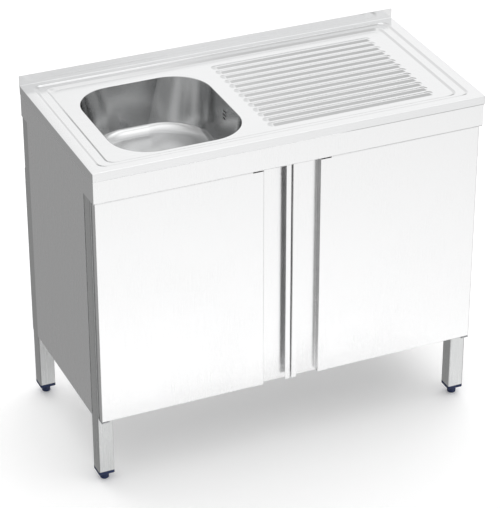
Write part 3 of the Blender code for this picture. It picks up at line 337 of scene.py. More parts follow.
def mixed(tree, factor, first, second, kind="MIX"):
    """The first colour or source turning into the second with the factor, or both multiplied."""
    node = add_node(tree, "ShaderNodeMix", {"Factor": factor}, data_type="RGBA", blend_type=kind)
    colours = [socket for socket in node.inputs if socket.type == "RGBA"]
    for socket, source in zip(colours, (first, second)):
        if isinstance(source, bpy.types.NodeSocket):
            tree.links.new(source, socket)
        else:
            socket.default_value = (*source, 1.0)
    return next(socket for socket in node.outputs if socket.type == "RGBA")


def make_steel(name, stretch, pale, dark, gloss, grain_depth=SATIN_GRAIN):
    """Brushed stainless steel: brushing in colour, roughness and height, smudges in the gloss."""
    material, tree, shader = new_material(name)
    group = add_node(tree, "ShaderNodeGroup", node_tree=BRUSHING)
    group.inputs["Stretch"].default_value = stretch
    grain = group.outputs["Grain"]
    colour = mixed(tree, ranged(tree, grain, 0.0, 1.0), dark, pale)
    brushed = ranged(tree, grain, gloss[1], gloss[0])
    smudged = ranged(tree, group.outputs["Smudge"], SMUDGE_SHINE, SMUDGE_DULLING)
    rough = combine(tree, "ADD", brushed, smudged)
    bump = add_node(tree, "ShaderNodeBump", {
        "Height": grain, "Distance": grain_depth, "Strength": GRAIN_STRENGTH})
    tree.links.new(colour, shader.inputs["Base Color"])
    tree.links.new(rough, shader.inputs["Roughness"])
    tree.links.new(bump.outputs["Normal"], shader.inputs["Normal"])
    shader.inputs["Metallic"].default_value = 1.0
    return material


def make_plastic(name, pale, dark, gloss, pit_depth):
    """Moulded plastic or rubber: a clouded colour, pits in the height and an uneven gloss."""
    material, tree, shader = new_material(name)
    group = add_node(tree, "ShaderNodeGroup", node_tree=MOULDING)
    cloud = group.outputs["Cloud"]
    colour = mixed(tree, ranged(tree, cloud, 0.0, 1.0), dark, pale)
    rough = ranged(tree, cloud, gloss[0], gloss[1])
    bump = add_node(tree, "ShaderNodeBump", {
        "Height": group.outputs["Pits"], "Distance": pit_depth, "Strength": PIT_STRENGTH})
    tree.links.new(colour, shader.inputs["Base Color"])
    tree.links.new(rough, shader.inputs["Roughness"])
    tree.links.new(bump.outputs["Normal"], shader.inputs["Normal"])
    return material


BRUSHING = make_brushing_group()
MOULDING = make_moulding_group()
TOP_STEEL = make_steel("satin_worktop_steel", ALONG_X, (0.92, 0.923, 0.927), (0.90, 0.903, 0.907),
                       (0.12, 0.17))
# Bowl steel: its grain and gloss are the drawn finish, but its base is painted darker than the worktop's
# steel, as painted shade and dark reflection inside the bowl
BOWL_SHADED_STEEL = make_steel("drawn_bowl_steel_painted_shade", ALONG_Z, (0.63, 0.634, 0.636), (0.60, 0.604, 0.606),
                        (0.16, 0.19), DRAWN_GRAIN)
BODY_STEEL = make_steel("brushed_cabinet_steel", ALONG_Z, (0.955, 0.956, 0.958), (0.93, 0.932, 0.934),
                        (0.25, 0.32), SHEET_GRAIN)
DOOR_STEEL = make_steel("brushed_door_steel", ALONG_Z, (0.955, 0.956, 0.958), (0.94, 0.941, 0.943),
                        (0.22, 0.28), SHEET_GRAIN)
TUBE_STEEL = make_steel("brushed_tube_steel", ALONG_Z, (0.72, 0.728, 0.726), (0.66, 0.668, 0.666),
                        (0.24, 0.34))
PART_STEEL = make_steel("turned_steel", FINE_ALL, (0.58, 0.585, 0.60), (0.48, 0.485, 0.50), (0.25, 0.38))
BLUE_PLASTIC = make_plastic("navy_plastic", (0.002, 0.017, 0.085), (0.0015, 0.012, 0.065),
                            (0.40, 0.55), 0.00004)
WHITE_PLASTIC = make_plastic("white_plastic", (0.80, 0.80, 0.79), (0.74, 0.74, 0.73), (0.32, 0.45), 0.00003)
RUBBER = make_plastic("black_rubber", (0.035, 0.035, 0.036), (0.022, 0.022, 0.023), (0.60, 0.78), 0.00006)


# Mesh helpers

def unique(items):
    """The items in their order, each kept once."""
    return list(dict.fromkeys(items))


def only(kind, items):
    """The items of one kind of mesh element."""
    return [item for item in items if isinstance(item, kind)]


def ring_edges(made):
    """The edges of a circle that was just made."""
    return unique(edge for vert in made["verts"] for edge in vert.link_edges)


def outline(bm, points, radii=0.0, steps=CORNER_STEPS):
    """A closed loop of edges through flat points, each corner rounded by its radius."""
    if not isinstance(radii, (list, tuple)):
        radii = [radii] * len(points)
    before = set(bm.edges)
    corners = [bm.verts.new(point) for point in points]
    bm.faces.new(corners)
    for radius in sorted(set(radii)):
        if radius > 0:
            chosen = [vert for vert, size in zip(corners, radii) if size == radius]
            bmesh.ops.bevel(bm, geom=chosen, offset=radius, segments=steps, profile=0.5,
                            affect="VERTICES", material=-1)
    edges = [edge for edge in bm.edges if edge not in before]
    faces = unique(face for edge in edges for face in edge.link_faces)
    bmesh.ops.delete(bm, geom=faces, context="FACES_ONLY")
    return edges


def rounded_loop(bm, low, high, radius, level, steps=CORNER_STEPS):
    """A flat loop of edges: a rectangle in plan with rounded corners."""
    points = [(low[0], low[1], level), (high[0], low[1], level),
              (high[0], high[1], level), (low[0], high[1], level)]
    return outline(bm, points, radius, steps)


def bridge(bm, loops):
    """Faces between each loop of edges and the next."""
    for first, second in zip(loops, loops[1:]):
        bmesh.ops.bridge_loops(bm, edges=first + second)


def chain(bm, points):
    """An open run of edges through the points."""
    verts = [bm.verts.new(point) for point in points]
    return [bm.edges.new(pair) for pair in zip(verts, verts[1:])]


def pull(bm, edges, move):
    """Extrude edges into faces and move the new edges, which are returned."""
    made = bmesh.ops.extrude_edge_only(bm, edges=edges)["geom"]
    verts = only(bmesh.types.BMVert, made)
    bmesh.ops.translate(bm, verts=verts, vec=move)
    fresh = set(verts)
    return [edge for edge in only(bmesh.types.BMEdge, made) if fresh.issuperset(edge.verts)]


def ends_near(edge, axis, value):
    """Whether both ends of the edge lie at one coordinate."""
    return all(abs(vert.co[axis] - value) < NEAR for vert in edge.verts)


def round_edges(bm, edges, radius, steps=FOLD_STEPS):
    """Round the given edges by a radius."""
    if edges:
        bmesh.ops.bevel(bm, geom=edges, offset=radius, segments=steps, profile=0.5, affect="EDGES",
                        material=-1)


def round_folds(bm, radius):
    """Round every inner edge where two faces meet at an angle."""
    folds = [edge for edge in bm.edges
             if len(edge.link_faces) == 2 and edge.calc_face_angle() > FOLD_ANGLE]
    round_edges(bm, folds, radius)


def box_mesh(low, high, radius):
    """A block between two corners with all its edges rounded."""
    bm = bmesh.new()
    size = [top - bottom for bottom, top in zip(low, high)]
    middle = [(top + bottom) / 2 for bottom, top in zip(low, high)]
    place = Matrix.Translation(middle) @ Matrix.Diagonal((*size, 1.0))
    bmesh.ops.create_cube(bm, size=1.0, matrix=place)
    round_edges(bm, bm.edges[:], radius, BLOCK_STEPS)
    return bm


def turned_mesh(profile, place, edge=SMALL_EDGE, steps=ROUND_STEPS):
    """A turned piece from a profile of (radius, height) points, spun and put in its place."""
    bm = bmesh.new()
    radii = [edge if radius > 0 else 0.0 for radius, height in profile]
    points = [(radius, 0.0, height) for radius, height in profile]
    edges = outline(bm, points, radii, PROFILE_STEPS)
    on_axis = [item for item in edges if ends_near(item, 0, 0.0)]
    bmesh.ops.delete(bm, geom=on_axis, context="EDGES")
    bmesh.ops.spin(bm, geom=bm.verts[:] + bm.edges[:], cent=(0, 0, 0), axis=(0, 0, 1), angle=math.tau,
                   steps=steps, use_merge=True)
    bmesh.ops.transform(bm, matrix=place, verts=bm.verts)
    return bm


def face_outwards(bm, outward):
    """Turn an open sheet so that its widest face looks along the given direction."""
    bmesh.ops.remove_doubles(bm, verts=bm.verts, dist=MERGE_DISTANCE)
    bmesh.ops.recalc_face_normals(bm, faces=bm.faces)
    bm.faces.ensure_lookup_table()
    widest = max(bm.faces, key=lambda face: face.calc_area())
    widest.normal_update()
    if widest.normal.dot(Vector(outward)) < 0:
        bmesh.ops.reverse_faces(bm, faces=bm.faces)


def smooth(mesh, angle=SHARP_ANGLE):
    """Smooth shading, with sharp edges at turns above an angle and where a flat meets a narrow roll."""
    mesh.shade_smooth()
    mesh.set_sharp_from_angle(angle=angle)
    bm = bmesh.new()
    bm.from_mesh(mesh)
    for edge in bm.edges:
        if len(edge.link_faces) == 2 and edge.calc_face_angle() > FLAT_TURN:
            narrow, broad = sorted(face.calc_area() for face in edge.link_faces)
            if broad > FLAT_SHARE * narrow:
                edge.smooth = False
    bm.to_mesh(mesh)
    bm.free()


def add_piece(name, bm, material, body, slot, *nodes, outward=None, sheet=0.0, soft=0.0, angle=SHARP_ANGLE):
    """Make the piece: a closed mesh, or an open sheet that gets its thickness behind its outer face."""
    if outward:
        face_outwards(bm, outward)
    else:
        bmesh.ops.remove_doubles(bm, verts=bm.verts, dist=MERGE_DISTANCE)
        bmesh.ops.recalc_face_normals(bm, faces=bm.faces)
    mesh = bpy.data.meshes.new(name)
    bm.to_mesh(mesh)
    bm.free()
    mesh.materials.append(material)
    piece = bpy.data.objects.new(name, mesh)
    scene.collection.objects.link(piece)
    if sheet:
        wall = piece.modifiers.new("Thickness", "SOLIDIFY")
        wall.thickness = sheet
        wall.offset = -1.0
        wall.use_even_offset = True
        apply_modifiers(piece)
    smooth(piece.data, angle)
    if soft:
        rim = piece.modifiers.new("Soft edges", "BEVEL")
        rim.width = soft
        rim.segments = RIM_STEPS
        rim.limit_method = "ANGLE"
        rim.angle_limit = RIM_ANGLE
        rim.harden_normals = True
    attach(piece, body)
    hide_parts(*nodes)
    return piece


def apply_modifiers(piece):
    """Keep the evaluated mesh and drop the modifiers that made it."""
    bpy.context.view_layer.update()
    solid = piece.evaluated_get(bpy.context.evaluated_depsgraph_get())
    made = bpy.data.meshes.new_from_object(solid)
    old = piece.data
    piece.modifiers.clear()
    piece.data = made
    bpy.data.meshes.remove(old)


def side_sign(side_name):
    """The sign of X on the named side."""
    return -1.0 if side_name == "left" else 1.0


def at(x, y, z):
    """A move to a place."""
    return Matrix.Translation((x, y, z))


def box_axis(low, high, level):
    """A move to the middle of a box's plan at a level."""
    return at((low[0] + high[0]) / 2, (low[1] + high[1]) / 2, level)


def turned_axes(across, forward, axis):
    """The turn that carries X, Y and Z to three given directions."""
    return Matrix((across, forward, axis)).transposed().to_4x4()


# Worktop

def plan_corners(insets):
    """Corners of the worktop's plan, moved in by the side, front and rear insets."""
    side, front, rear = insets
    return (-HALF_WIDTH + side, FRONT + front), (HALF_WIDTH - side, REAR - rear)


def inset_loop(bm, insets, radius, level):
    """A rounded loop parallel to the worktop's edges."""
    low, high = plan_corners(insets)
    return rounded_loop(bm, low, high, radius, level)


def widened(insets, amount):
    """The insets, all made larger by one amount."""
    return tuple(value + amount for value in insets)


def slope_loops(bm, starts, runs, top, drop):
    """Loops down a straight pressed slope that leaves and meets its flats through short fillets."""
    loops = []
    pitch = 1 / (1 - SLOPE_FILLET)
    for ring in range(SLOPE_RINGS + 1):
        share = ring / SLOPE_RINGS
        fall = pitch * (share - SLOPE_FILLET / 2)
        if share < SLOPE_FILLET:
            fall = pitch * share * share / (2 * SLOPE_FILLET)
        if share > 1 - SLOPE_FILLET:
            fall = 1 - pitch * (1 - share) * (1 - share) / (2 * SLOPE_FILLET)
        insets = [start + run * share for start, run in zip(starts, runs)]
        loops.append(inset_loop(bm, insets, STEP_RADIUS, top - drop * fall))
    return loops


def rib_loops(bm, middle):
    """Loops over one drainer rib, from its foot up a straight flank and over its rounded crown."""
    half = RIB_WIDTH / 2
    crown = half - RIB_FLANK
    radius = crown / math.sin(RIB_FLANK_ANGLE)
    flank_rise = RIB_FLANK * math.tan(RIB_FLANK_ANGLE)
    loops = [rib_outline(bm, middle, half + RIB_FOOT_WIDTH, FLOOR_LEVEL)]
    loops.append(rib_outline(bm, middle, half, FLOOR_LEVEL + RIB_FOOT_RISE))
    for ring in range(RIB_RINGS + 1):
        angle = RIB_FLANK_ANGLE * (1 - ring / RIB_RINGS * RIB_CROWN_SHARE)
        rise = flank_rise + radius * (math.cos(angle) - math.cos(RIB_FLANK_ANGLE))
        loops.append(rib_outline(bm, middle, radius * math.sin(angle), FLOOR_LEVEL + rise))
    return loops


def rib_outline(bm, middle, half, level):
    """A long loop with round ends around a rib."""
    spare = RIB_WIDTH / 2 - half
    low = (RIB_LEFT + spare, middle - half)
    high = (RIB_RIGHT - spare, middle + half)
    return rounded_loop(bm, low, high, half * RIB_END_SHARE, level)


def wall_inset(level):
    """How far the bowl's drafted wall has come in at a level."""
    return BOWL_SLOPE * (BOWL_PLAN_LEVEL - level)


def bowl_loop(bm, inset, level):
    """A loop around the bowl, moved in by the inset, with corners that grow rounder downwards."""
    low = (BOWL_LEFT + inset, BOWL_FRONT + inset)
    high = (BOWL_RIGHT - inset, BOWL_REAR - inset)
    radius = BOWL_RADIUS - inset + BOWL_CORNER_GROWTH * (BOWL_PLAN_LEVEL - level)
    return rounded_loop(bm, low, high, radius, level, BOWL_CORNER_STEPS)


def quarter_round(radius):
    """Steps around a quarter turn, as how far along and how far away from the start."""
    turns = [QUARTER_TURN * step / ROLL_STEPS for step in range(1, ROLL_STEPS + 1)]
    return [(radius * math.sin(turn), radius * (1 - math.cos(turn))) for turn in turns]


def add_front_lip(bm, flat_loop):
    """Roll the front and the sides of the flat top down into the lip."""
    end = UPSTAND_FACE - UPSTAND_FILLET - EDGE_CORNER

    def behind(edge):
        """Whether the edge lies behind the end of the lip."""
        return all(vert.co.y > end - NEAR for vert in edge.verts)

    runs = [[edge for edge in flat_loop if not behind(edge)]]
    levels = quarter_round(EDGE_ROLL)
    levels += [(EDGE_ROLL, LIP_HEIGHT - LIP_HEM_HEIGHT), (EDGE_ROLL - LIP_HEM_DEPTH, LIP_HEIGHT)]
    for reach, drop in levels:
        radius = EDGE_CORNER + reach
        low, high = plan_corners((EDGE_ROLL - reach, EDGE_ROLL - reach, REAR - end - radius))
        loop = rounded_loop(bm, low, high, radius, TOP_HEIGHT - drop)
        spare = [edge for edge in loop if behind(edge)]
        runs.append([edge for edge in loop if edge not in spare])
        bmesh.ops.delete(bm, geom=spare, context="EDGES")
    bridge(bm, runs)


def add_upstand(bm, flat_loop):
    """Turn the rear edge of the flat top up through a fillet into the upstand."""
    edges = [edge for edge in flat_loop if ends_near(edge, 1, UPSTAND_FACE - UPSTAND_FILLET)]
    before = (0.0, 0.0)
    for here in quarter_round(UPSTAND_FILLET):
        edges = pull(bm, edges, (0.0, here[0] - before[0], here[1] - before[1]))
        before = here
        for vert in unique(vert for edge in edges for vert in edge.verts):
            vert.co.x = math.copysign(HALF_WIDTH - TOP_SHEET, vert.co.x)
    pull(bm, edges, (0.0, 0.0, UPSTAND_HEIGHT - UPSTAND_FILLET))


def add_ribs(bm):
    """Make the drainer ribs and return the edges around their feet."""
    feet = []
    first = RIB_MIDDLE - RIB_PITCH * (RIB_COUNT - 1) / 2
    for number in range(RIB_COUNT):
        loops = rib_loops(bm, first + RIB_PITCH * number)
        bridge(bm, loops)
        bmesh.ops.triangle_fill(bm, edges=loops[-1], use_beauty=True)
        feet += loops[0]
    return feet


def add_bowl_rim(bm):
    """Roll the recess floor down into the bowl's opening and return the edges around it."""
    full = QUARTER_TURN - math.atan(BOWL_SLOPE)
    edge = wall_inset(FLOOR_LEVEL - BOWL_EDGE)
    rolls = [bowl_loop(bm, edge - BOWL_EDGE - FLAT_MARGIN, FLOOR_LEVEL)]
    for ring in range(BOWL_EDGE_RINGS + 1):
        turn = full * ring / BOWL_EDGE_RINGS
        reach = BOWL_EDGE * (1 - math.sin(turn) / math.sin(full))
        fall = BOWL_EDGE * (1 - math.cos(turn)) / (1 - math.cos(full))
        rolls.append(bowl_loop(bm, edge - reach, FLOOR_LEVEL - fall))
    rolls.append(bowl_loop(bm, wall_inset(BOWL_TOP), BOWL_TOP))
    bridge(bm, rolls)
    return rolls[0]


def make_worktop():
    """The pressed worktop with its steps, ribs, bowl opening, lip and upstand."""
    bm = bmesh.new()
    rear_inset = REAR - UPSTAND_FACE + UPSTAND_FILLET
    flat_insets = (EDGE_ROLL, EDGE_ROLL, rear_inset)
    flat = inset_loop(bm, flat_insets, EDGE_CORNER, TOP_HEIGHT - DRAIN_FALL)
    crown_insets = (EDGE_ROLL + FLAT_MARGIN, CROWN_START, rear_inset + FLAT_MARGIN)
    crown = inset_loop(bm, crown_insets, EDGE_CORNER, TOP_HEIGHT)
    rim = inset_loop(bm, widened(STEP_STARTS, -FLAT_MARGIN), STEP_RADIUS, TOP_HEIGHT - DRAIN_FALL)
    step_top = TOP_HEIGHT - 2 * DRAIN_FALL
    step = slope_loops(bm, STEP_STARTS, STEP_RUNS, step_top, STEP_DROP)
    ledge_start = [start + run for start, run in zip(STEP_STARTS, STEP_RUNS)]
    ledge_level = step_top - STEP_DROP - DRAIN_FALL
    ledge = inset_loop(bm, widened(ledge_start, FLAT_MARGIN), STEP_RADIUS, ledge_level)
    ledge_end = inset_loop(bm, widened(SLOPE_STARTS, -FLAT_MARGIN), STEP_RADIUS, ledge_level - DRAIN_FALL)
    slope_top = ledge_level - 2 * DRAIN_FALL
    slope = slope_loops(bm, SLOPE_STARTS, SLOPE_RUNS, slope_top, slope_top - FLOOR_LEVEL - DRAIN_FALL)
    floor = inset_loop(bm, widened(FLOOR_INSETS, FLAT_MARGIN), STEP_RADIUS, FLOOR_LEVEL)
    bridge(bm, [flat, crown, rim, *step, ledge, ledge_end, *slope, floor])
    rib_feet = add_ribs(bm)
    bowl_rim = add_bowl_rim(bm)
    bmesh.ops.triangle_fill(bm, edges=floor + rib_feet + bowl_rim, use_beauty=True)
    add_front_lip(bm, flat)
    add_upstand(bm, flat)
    add_piece("worktop_pressing", bm, TOP_STEEL, "cabinet", "steel_top", "worktop",
              outward=(0, -1, 1), sheet=TOP_SHEET, soft=RIM_SOFTNESS)


# Bowl

def add_slot_cutter(number):
    """A hidden cutter for one overflow slot through the bowl's right wall."""
    level = OVERFLOW_LEVEL + SLOT_RAISE + SLOT_PITCH * (1 - number)
    half = SLOT_LENGTHS[number] / 2
    bm = bmesh.new()
    x = BOWL_RIGHT - CUTTER_LENGTH / 2
    points = [(x, OVERFLOW_Y + along * half, level + up * SLOT_HEIGHT / 2)
              for along, up in ((-1, -1), (1, -1), (1, 1), (-1, 1))]
    edges = outline(bm, points, SLOT_HEIGHT * SLOT_ROUNDING, SLOT_STEPS)
    faces = only(bmesh.types.BMFace, bmesh.ops.triangle_fill(bm, edges=edges, use_beauty=True)["geom"])
    verts = only(bmesh.types.BMVert, bmesh.ops.extrude_face_region(bm, geom=faces)["geom"])
    bmesh.ops.translate(bm, verts=verts, vec=(CUTTER_LENGTH, 0, 0))
    bmesh.ops.recalc_face_normals(bm, faces=bm.faces)
    mesh = bpy.data.meshes.new(f"slot_cutter_{number}")
    bm.to_mesh(mesh)
    bm.free()
    cutter = bpy.data.objects.new(f"slot_cutter_{number}", mesh)
    scene.collection.objects.link(cutter)
    return cutter


def bowl_loops(bm):
    """Loops down the drafted wall, round the tight crease and round the wide shoulder, and the last level."""
    loops = []
    for share in BOWL_WALL_SHARES:
        level = BOWL_TOP + (BOWL_WALL_END - BOWL_TOP) * share
        loops.append(bowl_loop(bm, wall_inset(level), level))
    wall_angle = QUARTER_TURN - math.atan(BOWL_SLOPE)
    stages = ((BOWL_CREASE, wall_angle, SHOULDER_ANGLE), (BOWL_SHOULDER, SHOULDER_ANGLE, FLOOR_ANGLE))
    inset, level = wall_inset(BOWL_WALL_END), BOWL_WALL_END
    for radius, start, stop in stages:
        for step in range(1, FILLET_RINGS + 1):
            turn = start + (stop - start) * step / FILLET_RINGS
            across = radius * (math.sin(start) - math.sin(turn))
            down = radius * (math.cos(turn) - math.cos(start))
            loops.append(bowl_loop(bm, inset + across, level - down))
        inset += across
        level -= down
    return loops, level


def add_dish(bm, rim, seat, level):
    """A floor between the fillet and the seat that falls more and more steeply towards the seat."""
    spokes = bmesh.ops.bridge_loops(bm, edges=rim + seat)["edges"]
    made = bmesh.ops.subdivide_edges(bm, edges=spokes, cuts=DISH_RINGS, use_grid_fill=True)["geom_inner"]
    fall = level - BOWL_SEAT - SEAT_RIM_RISE
    for vert in only(bmesh.types.BMVert, made):
        share = (level - vert.co.z) / fall
        vert.co.z = level - fall * share * (DISH_START + (1 - DISH_START) * share)


def make_bowl():
    """The drawn bowl: drafted walls, a two-stage fillet, a floor dished to the waste, and overflow slots."""
    bm = bmesh.new()
    loops, level = bowl_loops(bm)
    bridge(bm, loops)
    radius = (WASTE_HIGH[0] - WASTE_LOW[0]) / 2 + SEAT_MARGIN
    seat = waste_circle(bm, radius + SEAT_RIM_WIDTH, BOWL_SEAT + SEAT_RIM_RISE)
    lower = waste_circle(bm, radius, BOWL_SEAT - SEAT_DROP)
    mouth = waste_circle(bm, radius - SEAT_LEDGE, BOWL_SEAT - SEAT_LEDGE_DROP)
    add_dish(bm, loops[-1], seat, level)
    bridge(bm, [seat, lower, mouth])
    piece = add_piece("bowl_pressing", bm, BOWL_SHADED_STEEL, "cabinet", "steel_bowl", "sink_bowl",
                      outward=(0, 0, 1), sheet=BOWL_SHEET)
    cutters = [add_slot_cutter(number) for number in range(len(SLOT_LENGTHS))]
    for cutter in cutters:
        cut = piece.modifiers.new("Slot", "BOOLEAN")
        cut.operation = "DIFFERENCE"
        cut.object = cutter
        cut.solver = "EXACT"
    apply_modifiers(piece)
    for cutter in cutters:
        bpy.data.objects.remove(cutter)
    smooth(piece.data)


def waste_circle(bm, radius, level):
    """A circle of edges around the waste, with a point for each point of a loop around the bowl."""
    made = bmesh.ops.create_circle(bm, segments=(BOWL_CORNER_STEPS + 1) * 4, radius=radius,
                                   matrix=at(BASIN_X, BASIN_Y, level))
    return ring_edges(made)


# Waste and overflow under the bowl

WASTE_TUBE_RADIUS = 0.0295
WASTE_TUBE_WALL = 0.002
WASTE_TUBE_LENGTH = 0.042
WASTE_FLANGE_RADIUS = 0.0385
WASTE_FLANGE_HEIGHT = 0.002
STRAINER_LEDGE = 0.002
STRAINER_DROP = 0.006
STRAINER_SHEET = 0.0015
STRAINER_HOLES = 8
STRAINER_HOLE_RADIUS = 0.0045
STRAINER_HOLE_CIRCLE = 0.016
STRAINER_HOLE_STEPS = 24
NUT_LUGS = 12
NUT_LUG_SPACES = 4
NUT_LUG_HEIGHT = 0.0018
NUT_SIDE_AREA = 0.00002
NUT_SIDE_SHARE = 0.97
NUT_EDGE = 0.0005
TAIL_RADIUS = 0.020
TAIL_WALL = 0.0025
OUTLET_WALL = 0.003
OUTLET_COLLAR = 0.030
SPIGOT_RADIUS = 0.011
SPIGOT_WALL = 0.002
SPIGOT_LENGTH = 0.026
HEAD_RADIUS = 0.021
HEAD_DEPTH = 0.026
HEAD_WALL = 0.0025
HEAD_EDGE = 0.001
HEAD_GASKET_WIDTH = 0.004
HEAD_GASKET = 0.002
HOSE_WALL = 0.0015
HOSE_LAP = 0.012
HOSE_STRAIGHT = 0.024
HOSE_RIDGES = 34
HOSE_RIDGE = 0.0011
HOSE_STEPS = 32
HOSE_SHARP_ANGLE = math.radians(70.0)


def make_waste_flange():
    """The bright waste flange with its tube and the ledge for the strainer."""
    bore = WASTE_TUBE_RADIUS - WASTE_TUBE_WALL
    ledge = bore - STRAINER_LEDGE
    top = FIT_GAP + WASTE_FLANGE_HEIGHT
    ledge_top = top - STRAINER_DROP
    profile = [
        (WASTE_FLANGE_RADIUS, top), (WASTE_FLANGE_RADIUS, FIT_GAP), (WASTE_TUBE_RADIUS, FIT_GAP),
        (WASTE_TUBE_RADIUS, -WASTE_TUBE_LENGTH), (bore, -WASTE_TUBE_LENGTH),
        (bore, ledge_top - STRAINER_LEDGE), (ledge, ledge_top - STRAINER_LEDGE),
        (ledge, ledge_top), (bore, ledge_top), (bore, top),
    ]
    bm = turned_mesh(profile, at(BASIN_X, BASIN_Y, BOWL_SEAT))
    add_piece("waste_ring", bm, PART_STEEL, "cabinet", "steel_part", "waste_flange")


def make_strainer():
    """The strainer plate with its ring of round holes."""
    low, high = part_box("waste_strainer")
    radius = (high[0] - low[0]) / 2
    bm = bmesh.new()
    place = at(BASIN_X, BASIN_Y, high[2])
    edges = ring_edges(bmesh.ops.create_circle(bm, segments=ROUND_STEPS, radius=radius, matrix=place))
    for number in range(STRAINER_HOLES):
        turn = Matrix.Rotation(math.tau * number / STRAINER_HOLES, 4, "Z")
        hole = bmesh.ops.create_circle(bm, segments=STRAINER_HOLE_STEPS, radius=STRAINER_HOLE_RADIUS,
                                       matrix=place @ turn @ at(STRAINER_HOLE_CIRCLE, 0, 0))
        edges += ring_edges(hole)
    bmesh.ops.triangle_fill(bm, edges=edges, use_beauty=True)
    add_piece("strainer_plate", bm, PART_STEEL, "cabinet", "steel_part", "waste_strainer",
              outward=(0, 0, 1), sheet=STRAINER_SHEET, soft=RIM_SOFTNESS)


def make_seal(node, name, place, inner, outer, low, high):
    """A plain rubber ring between two levels."""
    profile = [(inner, high), (outer, high), (outer, low), (inner, low)]
    add_piece(name, turned_mesh(profile, place), RUBBER, "cabinet", "rubber", node)


def make_waste_seal():
    """The rubber ring between the bowl and the waste nut."""
    low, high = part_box("waste_gasket")
    make_seal("waste_gasket", "waste_seal", at(BASIN_X, BASIN_Y, 0), WASTE_TUBE_RADIUS + FIT_GAP,
              (high[0] - low[0]) / 2, low[2], high[2])


def make_waste_nut():
    """The plastic nut, with grip lugs drawn out of a turned ring."""
    low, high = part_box("waste_nut")
    outer = (high[0] - low[0]) / 2
    base = outer - NUT_LUG_HEIGHT
    bore = WASTE_TUBE_RADIUS + FIT_GAP
    profile = [(bore, high[2]), (base, high[2]), (base, low[2]), (bore, low[2])]
    steps = NUT_LUGS * NUT_LUG_SPACES
    bm = turned_mesh(profile, at(BASIN_X, BASIN_Y, 0), edge=NUT_EDGE, steps=steps)
    axis = Vector((BASIN_X, BASIN_Y))
    lugs = []
    for face in bm.faces:
        spoke = face.calc_center_median().xy - axis
        step = math.floor(math.atan2(spoke.y, spoke.x) / math.tau * steps)
        on_side = face.calc_area() > NUT_SIDE_AREA and spoke.length > base * NUT_SIDE_SHARE
        if on_side and step % NUT_LUG_SPACES == 0:
            lugs.append(face)
    made = bmesh.ops.extrude_discrete_faces(bm, faces=lugs)["faces"]
    for face in made:
        spoke = (face.calc_center_median().xy - axis).normalized() * (outer - base)
        bmesh.ops.translate(bm, verts=face.verts, vec=(spoke.x, spoke.y, 0))
    add_piece("waste_grip_nut", bm, WHITE_PLASTIC, "cabinet", "white_plastic", "waste_nut")


def overflow_frame():
    """Frame on the outside of the right bowl wall, with its Z axis pointing out of the wall."""
    outward = Vector((1.0, 0.0, -BOWL_SLOPE)).normalized()
    along = Vector((0.0, 1.0, 0.0))
    inner_x = BOWL_RIGHT - wall_inset(OVERFLOW_LEVEL)
    origin = Vector((inner_x, OVERFLOW_Y, OVERFLOW_LEVEL)) + outward * BOWL_SHEET
    return at(*origin) @ turned_axes(along.cross(outward), along, outward)


def head_axis_x():
    """The overflow head's spigot hangs at this X."""
    reach = HEAD_GASKET + 2 * FIT_GAP + HEAD_DEPTH / 2
    return (overflow_frame() @ Vector((0.0, 0.0, reach))).x


def spigot_frame():
    """Frame of the outlet's side spigot, with its Z axis level towards the overflow head."""
    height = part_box("waste_outlet")[1][2] - OUTLET_COLLAR - SPIGOT_RADIUS - OUTLET_WALL
    towards = Vector((head_axis_x() - BASIN_X, OVERFLOW_Y - BASIN_Y, 0.0)).normalized()
    up = Vector((0.0, 0.0, 1.0))
    return at(BASIN_X, BASIN_Y, height) @ turned_axes(up, towards.cross(up), towards)


def add_spigot(bm, place, start):
    """Add a short turned tube to a mesh."""
    end = start + SPIGOT_LENGTH
    bore = SPIGOT_RADIUS - SPIGOT_WALL
    tube = turned_mesh([(SPIGOT_RADIUS, end), (SPIGOT_RADIUS, start), (bore, start), (bore, end)], place)
    spare = bpy.data.meshes.new("spare")
    tube.to_mesh(spare)
    tube.free()
    bm.from_mesh(spare)
    bpy.data.meshes.remove(spare)


def make_outlet():
    """The outlet body: a collar on the waste tube, a tail and the side spigot."""
    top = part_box("waste_outlet")[1][2]
    inner = WASTE_TUBE_RADIUS + FIT_GAP
    shoulder = -OUTLET_COLLAR
    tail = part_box("waste_outlet")[0][2] - top
    profile = [
        (inner + OUTLET_WALL, 0.0), (inner + OUTLET_WALL, shoulder - OUTLET_WALL),
        (TAIL_RADIUS, shoulder - OUTLET_WALL), (TAIL_RADIUS, tail), (TAIL_RADIUS - TAIL_WALL, tail),
        (TAIL_RADIUS - TAIL_WALL, shoulder), (inner, shoulder), (inner, 0.0),
    ]
    bm = turned_mesh(profile, at(BASIN_X, BASIN_Y, top))
    add_spigot(bm, spigot_frame(), TAIL_RADIUS - TAIL_WALL / 2)
    add_piece("outlet_body", bm, WHITE_PLASTIC, "cabinet", "white_plastic", "waste_outlet")


def make_overflow():
    """Gasket, head and ridged hose of the overflow."""
    place = overflow_frame()
    inner = HEAD_RADIUS - HEAD_GASKET_WIDTH
    make_seal("overflow_gasket", "overflow_seal", place, inner, HEAD_RADIUS, FIT_GAP, FIT_GAP + HEAD_GASKET)
    base = HEAD_GASKET + 2 * FIT_GAP
    cavity = HEAD_RADIUS - HEAD_WALL
    end = base + HEAD_DEPTH
    profile = [(cavity, base), (HEAD_RADIUS, base), (HEAD_RADIUS, end), (0.0, end),
               (0.0, end - HEAD_WALL), (cavity, end - HEAD_WALL)]
    bm = turned_mesh(profile, place, edge=HEAD_EDGE)
    down = at(head_axis_x(), OVERFLOW_Y, OVERFLOW_LEVEL) @ Matrix.Rotation(math.pi, 4, "X")
    add_spigot(bm, down, HEAD_RADIUS - HEAD_WALL / 2)
    add_piece("overflow_cup", bm, WHITE_PLASTIC, "cabinet", "white_plastic", "overflow_head")
    make_hose()


